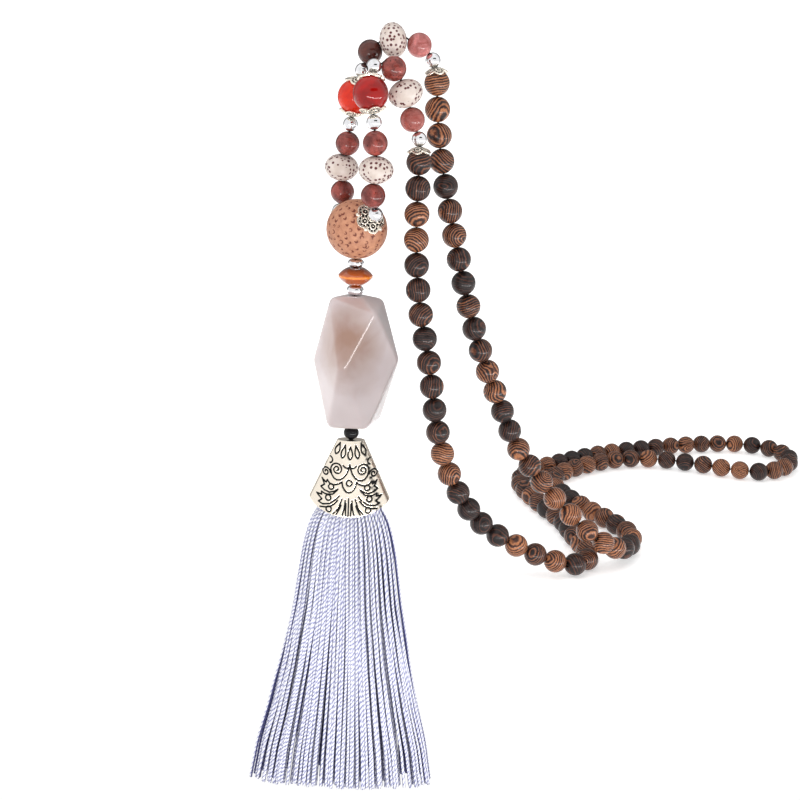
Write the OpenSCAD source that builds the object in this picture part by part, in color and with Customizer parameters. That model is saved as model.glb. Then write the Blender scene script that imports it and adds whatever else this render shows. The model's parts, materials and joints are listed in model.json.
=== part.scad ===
// Tassel necklace: a closed string of drilled beads with a hanging agate and tassel.
// Lengths are millimetres. The origin is the underside of the topmost lotus seed, where
// the string hangs, +Z is up and +Y points away from a viewer who faces the necklace.

/* [Wood beads] */
// Diameter of one wood bead
wood_d = 7.85; // [7:0.05:8.6]

/* [Thread and bores] */
// Clear space between neighbouring beads
bead_gap = 0.12; // [0.1:0.01:0.2]
// Diameter of the hole through each bead
bore_d = 1.6; // [1.3:0.1:2]
// Thickness of the thread
thread_d = 0.7; // [0.5:0.1:1]

/* [Ornament beads] */
// Diameter of a silver ball
silver_d = 4.6; // [4:0.1:5.4]
// Diameter of a jasper bead
jasper_d = 7.5; // [6.8:0.1:8.2]
// Width of a lotus seed, across the thread
lotus_d = 10.6; // [9.6:0.1:11.4]
// Length of a lotus seed, along the thread
lotus_h = 8.2; // [7.6:0.1:8.8]
// Diameter of a carnelian bead
carnelian_d = 10.6; // [9.8:0.1:11.2]

/* [Flower caps] */
// Wall of a flower cap
cap_t = 0.6; // [0.5:0.05:0.9]
// Width of the cap on the guru bead
guru_cap_w = 9.8; // [8.8:0.1:10.6]
// Width of the caps on a carnelian bead
carnelian_cap_w = 8.4; // [7.6:0.1:9]
// Width of the cap on the last wood bead
wood_cap_w = 7.3; // [6.6:0.1:7.6]
// Petals of a flower cap
petal_count = 5; // [4:1:7]
// Diameter of the pearls between the petals of a guru bead cap
pearl_d = 1.4; // [1:0.1:1.8]
// Height of the raised dots and rims on a cap
cap_relief = 0.3; // [0.2:0.05:0.4]

/* [Guru bead] */
// Width of the large pitted bead that gathers the strands
guru_d = 19.1; // [18:0.1:20]
// Height of the large pitted bead
guru_h = 18.6; // [17.6:0.1:19.4]

/* [Drop] */
// Diameter of the silver rondelle above the amber disc
upper_rondelle_d = 5.1; // [4.6:0.1:6]
// Height of the silver rondelle above the amber disc
upper_rondelle_h = 2.5; // [2:0.1:3]
// Diameter of the amber disc
disc_d = 10.9; // [9.5:0.1:12]
// Height of the amber disc
disc_h = 5.6; // [4.8:0.1:6.4]
// Width of the flat end of the amber disc
disc_end_d = 4.4; // [3.6:0.1:5]
// Thickness of the rim of the amber disc
disc_rim_t = 0.6; // [0.4:0.1:1.2]
// Diameter of the silver rondelle under the amber disc
lower_rondelle_d = 5.4; // [4.8:0.1:6.2]
// Height of the silver rondelle under the amber disc
lower_rondelle_h = 3.1; // [2.4:0.1:3.6]
// Height of the agate
agate_h = 42.8; // [38:0.1:46]
// Width of the agate across opposite middle corners
agate_w = 27.8; // [24:0.1:30]
// Radius of the tumbled corners of the agate
agate_round = 2.5; // [1.5:0.1:3.5]
// Diameter of the flat round each end of the agate's hole
agate_end_d = 6; // [4:0.1:8]
// Diameter of the small black bead
black_d = 5; // [4.4:0.1:5.8]
// Height of the small black bead
black_h = 4.3; // [3.6:0.1:5]

/* [Cone cap] */
// Width of the cone cap at its top
cone_top_w = 8.9; // [8:0.1:10]
// Width of the cone cap between its lower corners
cone_rim_w = 26.9; // [24:0.1:29]
// Height of the cone cap from its top to its lower corners
cone_side_h = 19.6; // [18:0.1:22]
// Further drop of the lower edge at its middle
cone_rim_sag = 4.3; // [3:0.1:5.5]
// Depth of the cone cap as a share of its width
cone_flatness = 0.56; // [0.5:0.01:0.65]
// Wall of the cone cap
cone_wall = 1; // [0.8:0.1:1.3]
// Depth of the engraved ornament
engrave_depth = 0.25; // [0.15:0.05:0.35]
// Width of an engraved line
engrave_w = 0.5; // [0.35:0.05:0.7]

/* [Tassel] */
// Length of the tassel below the middle of the cone cap's edge
tassel_drop = 98.6; // [80:0.1:115]
// Width of the tassel at its lower end
tassel_w = 64; // [54:0.5:72]
// Depth of the tassel at its lower end
tassel_depth = 23; // [18:0.5:28]
// Locks round the tassel
lock_count = 18; // [14:1:22]
// Clear space between the tassel and the inside of the cone cap
tassel_clear = 0.3; // [0.2:0.05:0.5]

/* [Hidden] */
smooth = 48;
past = 1;
route_steps = 10;
pitch_rounds = 24;
thread_sides = 6;
slice_h = 0.4;
slice_sides = 8;
corner_sides = 24;
crown_rub = 0.03;
tassel_sink = 2;

// Places where the string meets the guru bead: its centre and the ways its side holes point
guru_at = [-9.2, 0, -52.2];
front_hole = [0.46, -0.76, 0.46] / norm([0.46, -0.76, 0.46]);
back_hole = [-0.48, 0.8, 0.34] / norm([-0.48, 0.8, 0.34]);

// Route of the string: up from the front hole, over the top, down the left strand, round
// the loops that lie on the surface, up the right strand and over the top to the back hole
ROUTE = [
    [-4.2, -11.5, -40.2], [-3.5, -12.6, -32.3], [-4, -13.2, -24.4], [-4.5, -13.2, -18.8],
    [-5.8, -12.7, -11], [-5.5, -10, -3], [-1.8, -8.7, -1], [1.5, -8, -4],
    [5, -6.9, -11.3], [7.1, -6, -18.6], [9.2, -5.5, -24.5], [9.3, -4, -46],
    [9.8, -3, -62], [11.7, -2, -78], [15, -1, -94], [17.5, 0, -110], [21, 3, -126],
    [27.5, 7, -141], [36.5, 12.5, -153], [48.5, 16, -161], [60, 19, -166.5],
    [69, 22, -169], [74.5, 29, -169.3], [74.5, 40, -169.3], [72, 54, -169.3],
    [69.5, 70, -169.3], [64, 86, -169.3], [59.5, 101, -169.3], [57, 115, -169.3],
    [60, 129, -169.3], [69, 140, -169.3], [82, 152, -169.3], [98, 164, -169.3],
    [115, 173, -169.3], [133, 181, -169.3], [151, 186.5, -169.3], [167, 187, -169.3],
    [178, 180, -169.3], [181.5, 167, -169.3], [176, 153, -169.3], [165, 144.5, -169.3],
    [152, 146, -169.3], [137, 153, -169.3], [121, 157.5, -169.3], [106, 156, -169.3],
    [92, 148, -169.3], [80, 137, -169.3], [72, 125, -169.3], [71, 112, -169.3],
    [75, 98, -169.3], [81.5, 83.5, -169.3], [89, 69, -169.3], [93.5, 56, -169.3],
    [91.5, 44, -169], [86.5, 34, -167], [80.5, 26.5, -163], [74.5, 23.5, -158.5],
    [68, 25.5, -153], [61, 26.5, -146.5], [53.5, 24.5, -137], [46, 21, -126],
    [39.5, 17, -111], [33, 13, -95], [27.6, 10, -78.5], [23.4, 8, -62],
    [19.6, 6, -45.5], [16.3, 4.5, -29.5], [14.3, 3.4, -13], [13.6, 2.5, -3.4],
    [10.8, 1.5, 2.2], [6, 0.5, 4.9], [0, 0, 5.3], [-6, 1.6, 2.6], [-9, 3.4, -4],
    [-11, 4.8, -11], [-12.2, 5.3, -19.5], [-12.9, 6, -25.5], [-14.8, 7.8, -33],
    [-14.4, 9.2, -41]
];

// Ornaments of one side from the guru bead outwards: name, kind and length along the thread.
// The string bends at the upper lotus seed, which therefore takes up some slack as well.
seed_slack = 0.3;
ORNAMENTS = [
    ["flower_cap_guru", "cap", cap_t],
    ["silver_bead_1", "silver", silver_d],
    ["jasper_bead_1", "jasper", jasper_d],
    ["lotus_seed_1", "lotus", lotus_h],
    ["jasper_bead_2", "jasper", jasper_d],
    ["silver_bead_2", "silver", silver_d],
    ["flower_cap_lower", "cap", cap_t],
    ["carnelian_bead", "carnelian", carnelian_d],
    ["flower_cap_upper", "cap", cap_t],
    ["silver_bead_3", "silver", silver_d],
    ["jasper_bead_3", "jasper", jasper_d],
    ["lotus_seed_2", "lotus", lotus_h + seed_slack],
    ["jasper_bead_4", "jasper", jasper_d],
    ["silver_bead_4", "silver", silver_d],
    ["flower_cap_wood", "cap", cap_t]
];
carnelian_place = 7;
last_ornament = len(ORNAMENTS) - 1;

// Smooth path through the route, with the guru bead's side holes at its two ends
hole_reach = guru_d / 2 + cap_t + silver_d / 2 + 2 * bead_gap;
stops = concat(
    [guru_at + front_hole * guru_d / 2, guru_at + front_hole * hole_reach],
    ROUTE,
    [guru_at + back_hole * hole_reach, guru_at + back_hole * guru_d / 2]
);
last_stop = len(stops) - 1;
function stop(i) = i < 0 ? 2 * stops[0] - stops[1]
    : i > last_stop ? 2 * stops[last_stop] - stops[last_stop - 1]
    : stops[i];
function on_curve(a, b, c, d, t) =
    (2 * b + (c - a) * t + (2 * a - 5 * b + 4 * c - d) * pow(t, 2)
    + (3 * b - a - 3 * c + d) * pow(t, 3)) / 2;
path = concat(
    [for (i = [0:last_stop - 1]) for (k = [0:route_steps - 1])
        on_curve(stop(i - 1), stop(i), stop(i + 1), stop(i + 2), k / route_steps)],
    [stops[last_stop]]
);
last_leg = len(path) - 2;
path_back = [for (i = [len(path) - 1:-1:0]) path[i]];
travelled = [for (i = 0, s = 0; i < len(path); s = s + norm(path[min(i + 1, last_leg + 1)]
    - path[i]), i = i + 1) s];
path_length = travelled[last_leg + 1];

// A place on a path is [point, leg]. The next place lies a straight distance d away.
function crossing(a, b, from, d) =
    let (v = b - a, w = a - from, p = v * v, q = 2 * v * w, r = w * w - d * d)
    a + v * (sqrt(max(q * q - 4 * p * r, 0)) - q) / (2 * p);
function next_place(way, from, d) =
    let (leg = leg_at(way, from[0], from[1], d))
    [crossing(way[leg], way[leg + 1], from[0], d), leg];
function leg_at(way, point, leg, d) =
    leg < last_leg && norm(way[leg + 1] - point) < d ? leg_at(way, point, leg + 1, d) : leg;
function along(place) = travelled[place[1]] + norm(place[0] - path[place[1]]);

// Ornament places of a side, each a half length, a gap and a half length from the last
function half_length(i) = i < 0 ? 0 : ORNAMENTS[i][2] / 2;
function ornament_places(way) = [
    for (i = 0, s = next_place(way, [way[0], 0], bead_gap + half_length(0));
        i <= last_ornament;
        s = next_place(way, s, half_length(i) + bead_gap
            + half_length(min(i + 1, last_ornament))), i = i + 1) s];
front_places = ornament_places(path);
back_places = ornament_places(path_back);

// Wood beads fill what is left at one spacing, which the search below closes up
wood_lead = (cap_t + wood_d) / 2 + bead_gap;
wood_start = front_places[last_ornament];
wood_room = path_length - 2 * wood_lead - along(wood_start)
    - (path_length - along_back(back_places[last_ornament]));
function along_back(place) = path_length - norm(place[0] - path_back[place[1]])
    - (path_length - travelled[last_leg + 1 - place[1]]);
wood_count = floor(wood_room / (wood_d + bead_gap)) + 1;
function wood_places(pitch) = [
    for (i = 0, s = next_place(path, wood_start, wood_lead);
        i < wood_count;
        s = next_place(path, s, pitch), i = i + 1) s];
wood_end = along_back(back_places[last_ornament]) - wood_lead;
function closed_pitch(low, high, rounds) =
    let (middle = (low + high) / 2, last = wood_places(middle)[wood_count - 1])
    rounds == 0 ? middle
    : along(last) < wood_end ? closed_pitch(middle, high, rounds - 1)
    : closed_pitch(low, middle, rounds - 1);
wood_pitch = closed_pitch(wood_d, wood_d * 1.1, pitch_rounds);
wood_beads = [for (s = wood_places(wood_pitch)) s[0]];
left_count = floor(wood_count / 2);

// The whole string in order, with each piece's length, and the way of its hole
string_points = concat(
    [for (s = front_places) s[0]],
    wood_beads,
    [for (i = [last_ornament:-1:0]) back_places[i][0]]
);
string_lengths = concat(
    [for (row = ORNAMENTS) row[2]],
    [for (b = wood_beads) wood_d],
    [for (i = [last_ornament:-1:0]) ORNAMENTS[i][2]]
);
string_last = len(string_points) - 1;
function unit(v) = v / norm(v);
function hole_way(i) = unit(
    (i < string_last ? string_points[i + 1] : path[last_leg + 1])
    - (i > 0 ? string_points[i - 1] : path[0]));

// Heights down the drop, one piece under the other
function under(top, h) = top - h - bead_gap;
guru_bottom = guru_at[2] - guru_h / 2;
upper_rondelle_z = under(guru_bottom, upper_rondelle_h);
disc_z = under(upper_rondelle_z, disc_h);
lower_rondelle_z = under(disc_z, lower_rondelle_h);
agate_z = under(lower_rondelle_z, agate_h);
black_z = under(agate_z, black_h);
cone_top_z = black_z - bead_gap;
cone_rim_z = cone_top_z - cone_side_h - cone_rim_sag;
tassel_top_z = cone_top_z - cone_wall - tassel_sink;

// Each face of the amber disc is part of a ball through its flat end and its rim: how far
// the ball's centre lies beyond the middle of the disc, and its radius
lens_drop = (pow(disc_d / 2, 2) + pow(disc_rim_t / 2, 2) - pow(disc_end_d / 2, 2)
    - pow(disc_h / 2, 2)) / (disc_h - disc_rim_t);
lens_r = norm([disc_end_d / 2, disc_h / 2 + lens_drop]);

// Fan of the cone cap: its side slope, and the circle that its lower edge follows
cone_slope = (cone_rim_w - cone_top_w) / 2 / cone_side_h;
cone_h = cone_side_h + cone_rim_sag + past;
cone_rim_r = (pow(cone_rim_w / 2, 2) + pow(cone_rim_sag, 2)) / (2 * cone_rim_sag);

// Width of one petal as a share of a cap's width, and of its rim as a share of its radius
petal_share = 0.46;
rim_share = 0.26;
// Distance of the pearls from the middle of a cap as a share of its width
pearl_share = 0.44;

// Agate corners: the turn about its hole, where 0 faces the viewer and 90 is to the right,
// the reach as a share of half its width and the height as a share of half its height
AGATE_CORNERS = [
    [40, 0.75, 0.83], [-57, 0.58, 1], [124, 0.73, 0.93], [-147, 0.7, 0.92],
    [-12, 1, 0.02], [76, 1.09, 0.09], [-103, 0.93, -0.02], [167, 0.95, 0],
    [31, 0.64, -0.96], [-58, 0.57, -1], [121, 0.71, -0.96], [-148, 0.63, -1]
];
agate_reach = agate_w / 2 - agate_round;
agate_rise = agate_h / 2 - agate_round;

// Tassel below the cone cap's edge: share of the way down, and of the growth in width and
// in depth from the neck, which fits in the cap, to the lower end
TASSEL_OUTLINE = [
    [0, 0, 0], [0.02, 0.1, 0.08], [0.084, 0.19, 0.25], [0.147, 0.25, 0.35],
    [0.33, 0.365, 0.5], [0.545, 0.545, 0.69], [0.71, 0.714, 0.82], [0.85, 0.884, 0.93],
    [1, 1, 1]
];
// How far each lock in turn falls short of the full length
LOCK_SHORT = [0, 0.012, 0.004, 0.018, 0.007, 0.02];
// Thickness of a lock as a share of the half depth, and of that what the core lies under it
lock_share = 0.3;
core_share = 0.6;
// The neck keeps clear of the inside of the cap, down to the cap's lower corners
neck_inset = cone_wall / cone_flatness + cone_slope * (cone_wall + slice_h) + tassel_clear;
neck_w = cone_rim_w / 2 - neck_inset;
function row_w(row) = neck_w + row[1] * (tassel_w / 2 - neck_w);
function row_d(row) = neck_w * cone_flatness + row[2] * (tassel_depth / 2 - neck_w * cone_flatness);
function row_z(row, short) =
    cone_rim_z - tassel_top_z - row[0] * tassel_drop * (1 - short * row[0]);

// Engraved scrolls and berries, mirrored about the middle: how far out, how far down from
// the cap's top, and the radius
SCROLLS = [
    [4.3, 9.2, 1.9], [4.3, 9.2, 0.8], [7.8, 10.6, 1.3], [5.9, 14.6, 0.9], [6.7, 18.2, 0.9]
];
berry_drop = 13.1;
berry_r = 0.95;
// Engraved petals and rays fan out from a point above the cap's top
fan_z = 5;
petal_step = 11;
petal_reach = 8.6;
petal_h = 3.8;
petal_w = 1.2;
ray_step = 5;
ray_end = 28;
ray_h = 5;

module at_drop(z) {
    translate([guru_at[0], guru_at[1], z]) children();
}

module along_hole(point, way) {
    translate(point) rotate([0, acos(way[2]), atan2(way[1], way[0])]) children();
}

module bore(length) {
    cylinder(d = bore_d, h = length + 2 * past, center = true, $fn = smooth);
}

module ball(d) {
    difference() {
        sphere(d = d, $fn = smooth);
        bore(d);
    }
}

// Seed: a ball that is shorter along the thread
module seed(d, h) {
    difference() {
        scale([1, 1, h / d]) sphere(d = d, $fn = smooth);
        bore(h);
    }
}

// Rondelle: a flat bead with a round edge, standing on z = 0
module rondelle(d, h) {
    rotate_extrude($fn = smooth) {
        translate([bore_d / 2, 0]) square([(d - h - bore_d) / 2, h]);
        intersection() {
            translate([(d - h) / 2, h / 2]) circle(d = h, $fn = smooth);
            translate([bore_d / 2, 0]) square([d, h]);
        }
    }
}

// Flower cap: a petalled shell round the ball at its centre, with a raised rim and dot on
// each petal and, where pearls are wanted, a small pearl between the petals
module flower_cap(ball_d, width, pearls) {
    inner_r = ball_d / 2 + bead_gap;
    outer_r = inner_r + cap_t;
    petal_r = width * petal_share / 2;
    petal_at = width / 2 - petal_r;
    difference() {
        union() {
            intersection() {
                sphere(r = outer_r, $fn = smooth);
                flower_plan(outer_r, petal_at, petal_r);
            }
            intersection() {
                sphere(r = outer_r + cap_relief, $fn = smooth);
                flower_rims(outer_r, petal_at, petal_r);
            }
            if (pearls) intersection() {
                sphere(r = outer_r + pearl_d / 2 - crown_rub, $fn = smooth);
                for (k = [1:petal_count])
                    rotate([0, asin(width * pearl_share / outer_r), (k + 0.5) * 360 / petal_count])
                        translate([0, 0, outer_r]) sphere(d = pearl_d, $fn = smooth);
            }
        }
        sphere(r = inner_r, $fn = smooth);
        translate([0, 0, outer_r]) bore(outer_r);
    }
}

module flower_plan(h, petal_at, petal_r) {
    cylinder(r = petal_at, h = 2 * h, $fn = smooth);
    for (k = [1:petal_count])
        rotate(k * 360 / petal_count) translate([petal_at, 0, 0])
            cylinder(r = petal_r, h = 2 * h, $fn = smooth);
}

module flower_rims(h, petal_at, petal_r) {
    rim_w = petal_r * rim_share;
    for (k = [1:petal_count])
        rotate(k * 360 / petal_count) translate([petal_at, 0, 0]) {
            difference() {
                cylinder(r = petal_r, h = 2 * h, $fn = smooth);
                cylinder(r = petal_r - rim_w, h = 2 * h, $fn = smooth);
                translate([-petal_at, 0, 0]) cylinder(r = petal_at, h = 2 * h, $fn = smooth);
            }
            translate([rim_w, 0, 0]) cylinder(r = rim_w, h = 2 * h, $fn = smooth);
        }
}

// One ornament of a side: its place, the hole's way and, for a cap, the bead it hugs
module ornament(side, i) {
    front = side == "front_";
    places = front ? front_places : back_places;
    kind = ORNAMENTS[i][1];
    way = front ? hole_way(i) : -hole_way(string_last - i);
    if (kind == "cap") {
        color("silver")
            cap_on(i, places[i][0],
                i == 0 ? guru_at
                : i == last_ornament ? wood_beads[front ? 0 : wood_count - 1]
                : places[carnelian_place][0]);
    } else {
        along_hole(places[i][0], way) {
            if (kind == "silver") color("gainsboro") ball(silver_d);
            if (kind == "jasper") color("indianred") ball(jasper_d);
            if (kind == "carnelian") color("firebrick") ball(carnelian_d);
            if (kind == "lotus") color("antiquewhite") seed(lotus_d, lotus_h);
        }
    }
}

module cap_on(i, place, bead) {
    ball_d = i == 0 ? guru_d : i == last_ornament ? wood_d : carnelian_d;
    width = i == 0 ? guru_cap_w : i == last_ornament ? wood_cap_w : carnelian_cap_w;
    along_hole(bead, unit(place - bead)) flower_cap(ball_d, width, i == 0);
}

module wood_beads_left() {
    color("saddlebrown")
        for (i = [0:left_count - 1])
            along_hole(wood_beads[i], hole_way(last_ornament + 1 + i)) ball(wood_d);
}

module wood_beads_right() {
    color("sienna")
        for (i = [left_count:wood_count - 1])
            along_hole(wood_beads[i], hole_way(last_ornament + 1 + i)) ball(wood_d);
}

// Thread: a ring at both ends of every hole, joined into one many-sided tube
module loop_thread() {
    inside = guru_d / 2 - past;
    centres = concat(
        [guru_at + front_hole * past, path[0]],
        [for (i = [0:string_last]) for (end = [-1, 1])
            string_points[i] + end * hole_way(i) * string_lengths[i] / 2],
        [path[last_leg + 1], guru_at + back_hole * past]
    );
    ways = concat(
        [front_hole, front_hole],
        [for (i = [0:string_last]) for (end = [-1, 1]) hole_way(i)],
        [-back_hole, -back_hole]
    );
    last = len(centres) - 1;
    sides = [for (i = 0, u = unit(cross(ways[0], [1, 0, 0])); i <= last;
        i = i + 1, u = let (w = ways[min(i, last)]) unit(u - (u * w) * w)) u];
    points = [for (i = [0:last]) for (k = [0:thread_sides - 1])
        let (a = k * 360 / thread_sides)
        centres[i] + (sides[i] * cos(a) + cross(ways[i], sides[i]) * sin(a)) * thread_d / 2];
    faces = concat(
        [[for (k = [0:thread_sides - 1]) k]],
        [for (i = [0:last - 1]) for (k = [0:thread_sides - 1])
            let (a = i * thread_sides + k, b = i * thread_sides + (k + 1) % thread_sides)
            [a, a + thread_sides, b + thread_sides, b]],
        [[for (k = [thread_sides - 1:-1:0]) last * thread_sides + k]]
    );
    color("dimgray") polyhedron(points, faces);
}

// Guru bead: side holes for the two ends of the string and one hole down to the drop meet
// in a small chamber, and the crown is rubbed flat by a hair
module guru_bead() {
    color("peru")
        difference() {
            translate(guru_at) scale([1, 1, guru_h / guru_d]) sphere(d = guru_d, $fn = smooth);
            translate(guru_at + [0, 0, guru_h / 2 - crown_rub])
                cylinder(d = guru_d, h = past, $fn = smooth);
            translate(guru_at)
                cylinder(d = 2 * bore_d, h = 3 * bore_d, center = true, $fn = smooth);
            for (way = [front_hole, back_hole, [0, 0, -1]])
                along_hole(guru_at, way)
                    cylinder(d = bore_d, h = guru_d / 2 + past, $fn = smooth);
        }
}

module pendant_thread() {
    top = guru_at[2] - past;
    color("dimgray") at_drop(tassel_top_z + bead_gap)
        cylinder(d = thread_d, h = top - tassel_top_z - bead_gap, $fn = smooth);
}

module rondelle_upper() {
    color("silver") at_drop(upper_rondelle_z) rondelle(upper_rondelle_d, upper_rondelle_h);
}

// Amber disc: a lens with flat ends and a narrow rim
module amber_disc() {
    color("chocolate") at_drop(disc_z + disc_h / 2)
        rotate_extrude($fn = smooth) intersection() {
            translate([0, lens_drop]) circle(r = lens_r, $fn = smooth * 2);
            translate([0, -lens_drop]) circle(r = lens_r, $fn = smooth * 2);
            translate([bore_d / 2, -disc_h / 2]) square([(disc_d - bore_d) / 2, disc_h]);
        }
}

module rondelle_lower() {
    color("silver") at_drop(lower_rondelle_z) rondelle(lower_rondelle_d, lower_rondelle_h);
}

// Agate: twelve tumbled corners, four at each end and four turned ones at the middle
module agate() {
    color("lavenderblush") at_drop(agate_z + agate_h / 2)
        difference() {
            hull() {
                cylinder(d = agate_end_d, h = agate_h, center = true, $fn = corner_sides);
                for (row = AGATE_CORNERS)
                    rotate(row[0] - 90)
                        translate([row[1] * agate_reach, 0, row[2] * agate_rise])
                            sphere(r = agate_round, $fn = corner_sides);
            }
            bore(agate_h);
        }
}

module black_bead() {
    color("black") at_drop(black_z + black_h / 2) seed(black_d, black_h);
}

// Solid cone of the cap's slope before it is flattened, narrower by an inset
module cone_body(inset) {
    translate([0, 0, -cone_h])
        cylinder(r1 = cone_top_w / 2 + cone_slope * cone_h - inset,
            r2 = cone_top_w / 2 - inset, h = cone_h, $fn = smooth);
}

// Cone cap: a hollow fan, cut to a round lower edge and engraved, then flattened
module cone_cap() {
    color("silver") at_drop(cone_top_z)
        difference() {
            scale([1, cone_flatness, 1]) difference() {
                intersection() {
                    cone_body(0);
                    translate([0, 0, cone_rim_z - cone_top_z + cone_rim_r])
                        rotate([90, 0, 0])
                            cylinder(r = cone_rim_r, h = 2 * cone_rim_w, center = true,
                                $fn = smooth * 2);
                }
                translate([0, 0, -cone_wall]) cone_body(cone_wall / cone_flatness);
                difference() {
                    rotate([90, 0, 0])
                        linear_extrude(height = 2 * cone_rim_w, center = true) scrollwork();
                    cone_body(engrave_depth / cone_flatness);
                }
            }
            bore(2 * cone_wall);
        }
}

// Plan of the engraving, seen from the front: petals, scrolls, berries and rays
module scrollwork() {
    for (k = [-2:2]) fan(k * petal_step) translate([0, -petal_reach]) petal();
    for (k = [-3:3]) fan(k * ray_step) translate([-engrave_w / 2, -ray_end])
        square([engrave_w, ray_h]);
    for (side = [-1, 1]) for (row = SCROLLS) ring(side * row[0], row[1], row[2]);
    ring(0, berry_drop, berry_r);
}

module fan(turn) {
    translate([0, fan_z]) rotate(turn) children();
}

module petal() {
    r = (pow(petal_h, 2) + pow(petal_w, 2)) / (4 * petal_w);
    intersection() {
        translate([r - petal_w / 2, 0]) circle(r = r, $fn = smooth * 2);
        translate([petal_w / 2 - r, 0]) circle(r = r, $fn = smooth * 2);
    }
}

module ring(out, down, r) {
    translate([out, -down]) difference() {
        circle(r = r + engrave_w / 2, $fn = smooth);
        circle(r = r - engrave_w / 2, $fn = smooth);
    }
}

// One thin slice of the tassel or of a lock
module slice(x, y, z, half_w, half_d) {
    translate([x, y, z]) scale([half_w, half_d, 1])
        cylinder(r = 1, h = slice_h, $fn = slice_sides);
}

// Tassel: a head that fills the cone cap, a core below it and locks fused to the core
module tassel() {
    color("lightsteelblue") at_drop(tassel_top_z) {
        tassel_head();
        for (i = [0:len(TASSEL_OUTLINE) - 2]) {
            hull() {
                core_slice(TASSEL_OUTLINE[i]);
                core_slice(TASSEL_OUTLINE[i + 1]);
            }
            for (k = [0:lock_count - 1]) hull() {
                lock_slice(k, TASSEL_OUTLINE[i]);
                lock_slice(k, TASSEL_OUTLINE[i + 1]);
            }
        }
    }
}

module tassel_head() {
    top_w = cone_top_w / 2 + cone_slope * (cone_top_z - tassel_top_z) - neck_inset;
    side_drop = cone_side_h - cone_top_z + tassel_top_z;
    hull() {
        slice(0, 0, -slice_h, top_w, top_w * cone_flatness);
        slice(0, 0, -side_drop, neck_w, neck_w * cone_flatness);
    }
    hull() {
        slice(0, 0, -side_drop, neck_w, neck_w * cone_flatness);
        slice(0, 0, row_z(TASSEL_OUTLINE[0], 0), neck_w, neck_w * cone_flatness);
    }
}

module core_slice(row) {
    shrink = 1 - lock_share * core_share;
    slice(0, 0, row_z(row, max(LOCK_SHORT)), row_w(row) * shrink, row_d(row) * shrink);
}

module lock_slice(k, row) {
    turn = k * 360 / lock_count;
    thick = row_d(row) * lock_share;
    slice(cos(turn) * (row_w(row) - thick), sin(turn) * (row_d(row) - thick),
        row_z(row, LOCK_SHORT[k % len(LOCK_SHORT)]), thick, thick);
}

for (i = [0:last_ornament]) {
    ornament("front_", i);
    ornament("back_", i);
}
wood_beads_left();
wood_beads_right();
loop_thread();
guru_bead();
pendant_thread();
rondelle_upper();
amber_disc();
rondelle_lower();
agate();
black_bead();
cone_cap();
tassel();
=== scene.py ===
"""Dresses the tassel necklace: its beads, caps, agate, cone cap and tassel, and the stage."""

import json
import math
import random
from contextlib import contextmanager

import bmesh
import bpy
import numpy as np
from mathutils import Color, Matrix, Vector

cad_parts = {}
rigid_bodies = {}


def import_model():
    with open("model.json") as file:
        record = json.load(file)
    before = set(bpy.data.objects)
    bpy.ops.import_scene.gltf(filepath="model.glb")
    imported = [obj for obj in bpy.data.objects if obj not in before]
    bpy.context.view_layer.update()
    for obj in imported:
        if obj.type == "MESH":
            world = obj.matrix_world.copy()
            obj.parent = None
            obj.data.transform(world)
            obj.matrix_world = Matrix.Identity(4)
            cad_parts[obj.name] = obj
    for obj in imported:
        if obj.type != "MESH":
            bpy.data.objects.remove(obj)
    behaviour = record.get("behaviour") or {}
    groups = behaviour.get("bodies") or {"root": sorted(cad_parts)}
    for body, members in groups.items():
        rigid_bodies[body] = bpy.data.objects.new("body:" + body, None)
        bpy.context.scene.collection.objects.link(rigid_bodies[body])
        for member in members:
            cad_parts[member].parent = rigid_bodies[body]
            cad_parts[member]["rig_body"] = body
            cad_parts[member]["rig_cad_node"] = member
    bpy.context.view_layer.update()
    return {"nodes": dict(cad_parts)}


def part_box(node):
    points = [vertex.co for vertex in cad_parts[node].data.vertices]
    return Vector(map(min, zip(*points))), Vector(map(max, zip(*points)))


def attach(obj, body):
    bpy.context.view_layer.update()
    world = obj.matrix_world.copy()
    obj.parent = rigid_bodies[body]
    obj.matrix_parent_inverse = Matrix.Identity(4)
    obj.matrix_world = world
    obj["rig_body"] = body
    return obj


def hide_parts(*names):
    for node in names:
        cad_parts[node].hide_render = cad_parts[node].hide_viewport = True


bl_info = {
    "name": "Tassel necklace",
    "version": (1, 0, 0),
    "blender": (4, 5, 0),
    "location": "View3D > Sidebar > Necklace",
    "description": "Dresses a bead necklace with its agate, cone cap and tassel",
    "category": "Add Mesh",
}

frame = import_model()
MM = 0.001

# The ornaments of one side, from the guru bead outwards
ORNAMENTS = (
    "flower_cap_guru", "silver_bead_1", "jasper_bead_1", "lotus_seed_1", "jasper_bead_2",
    "silver_bead_2", "flower_cap_lower", "carnelian_bead", "flower_cap_upper",
    "silver_bead_3", "jasper_bead_3", "lotus_seed_2", "jasper_bead_4", "silver_bead_4",
    "flower_cap_wood",
)
# The two sides, and the wood strand that each runs to
SIDES = {"front_": "wood_beads_left", "back_": "wood_beads_right"}

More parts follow.
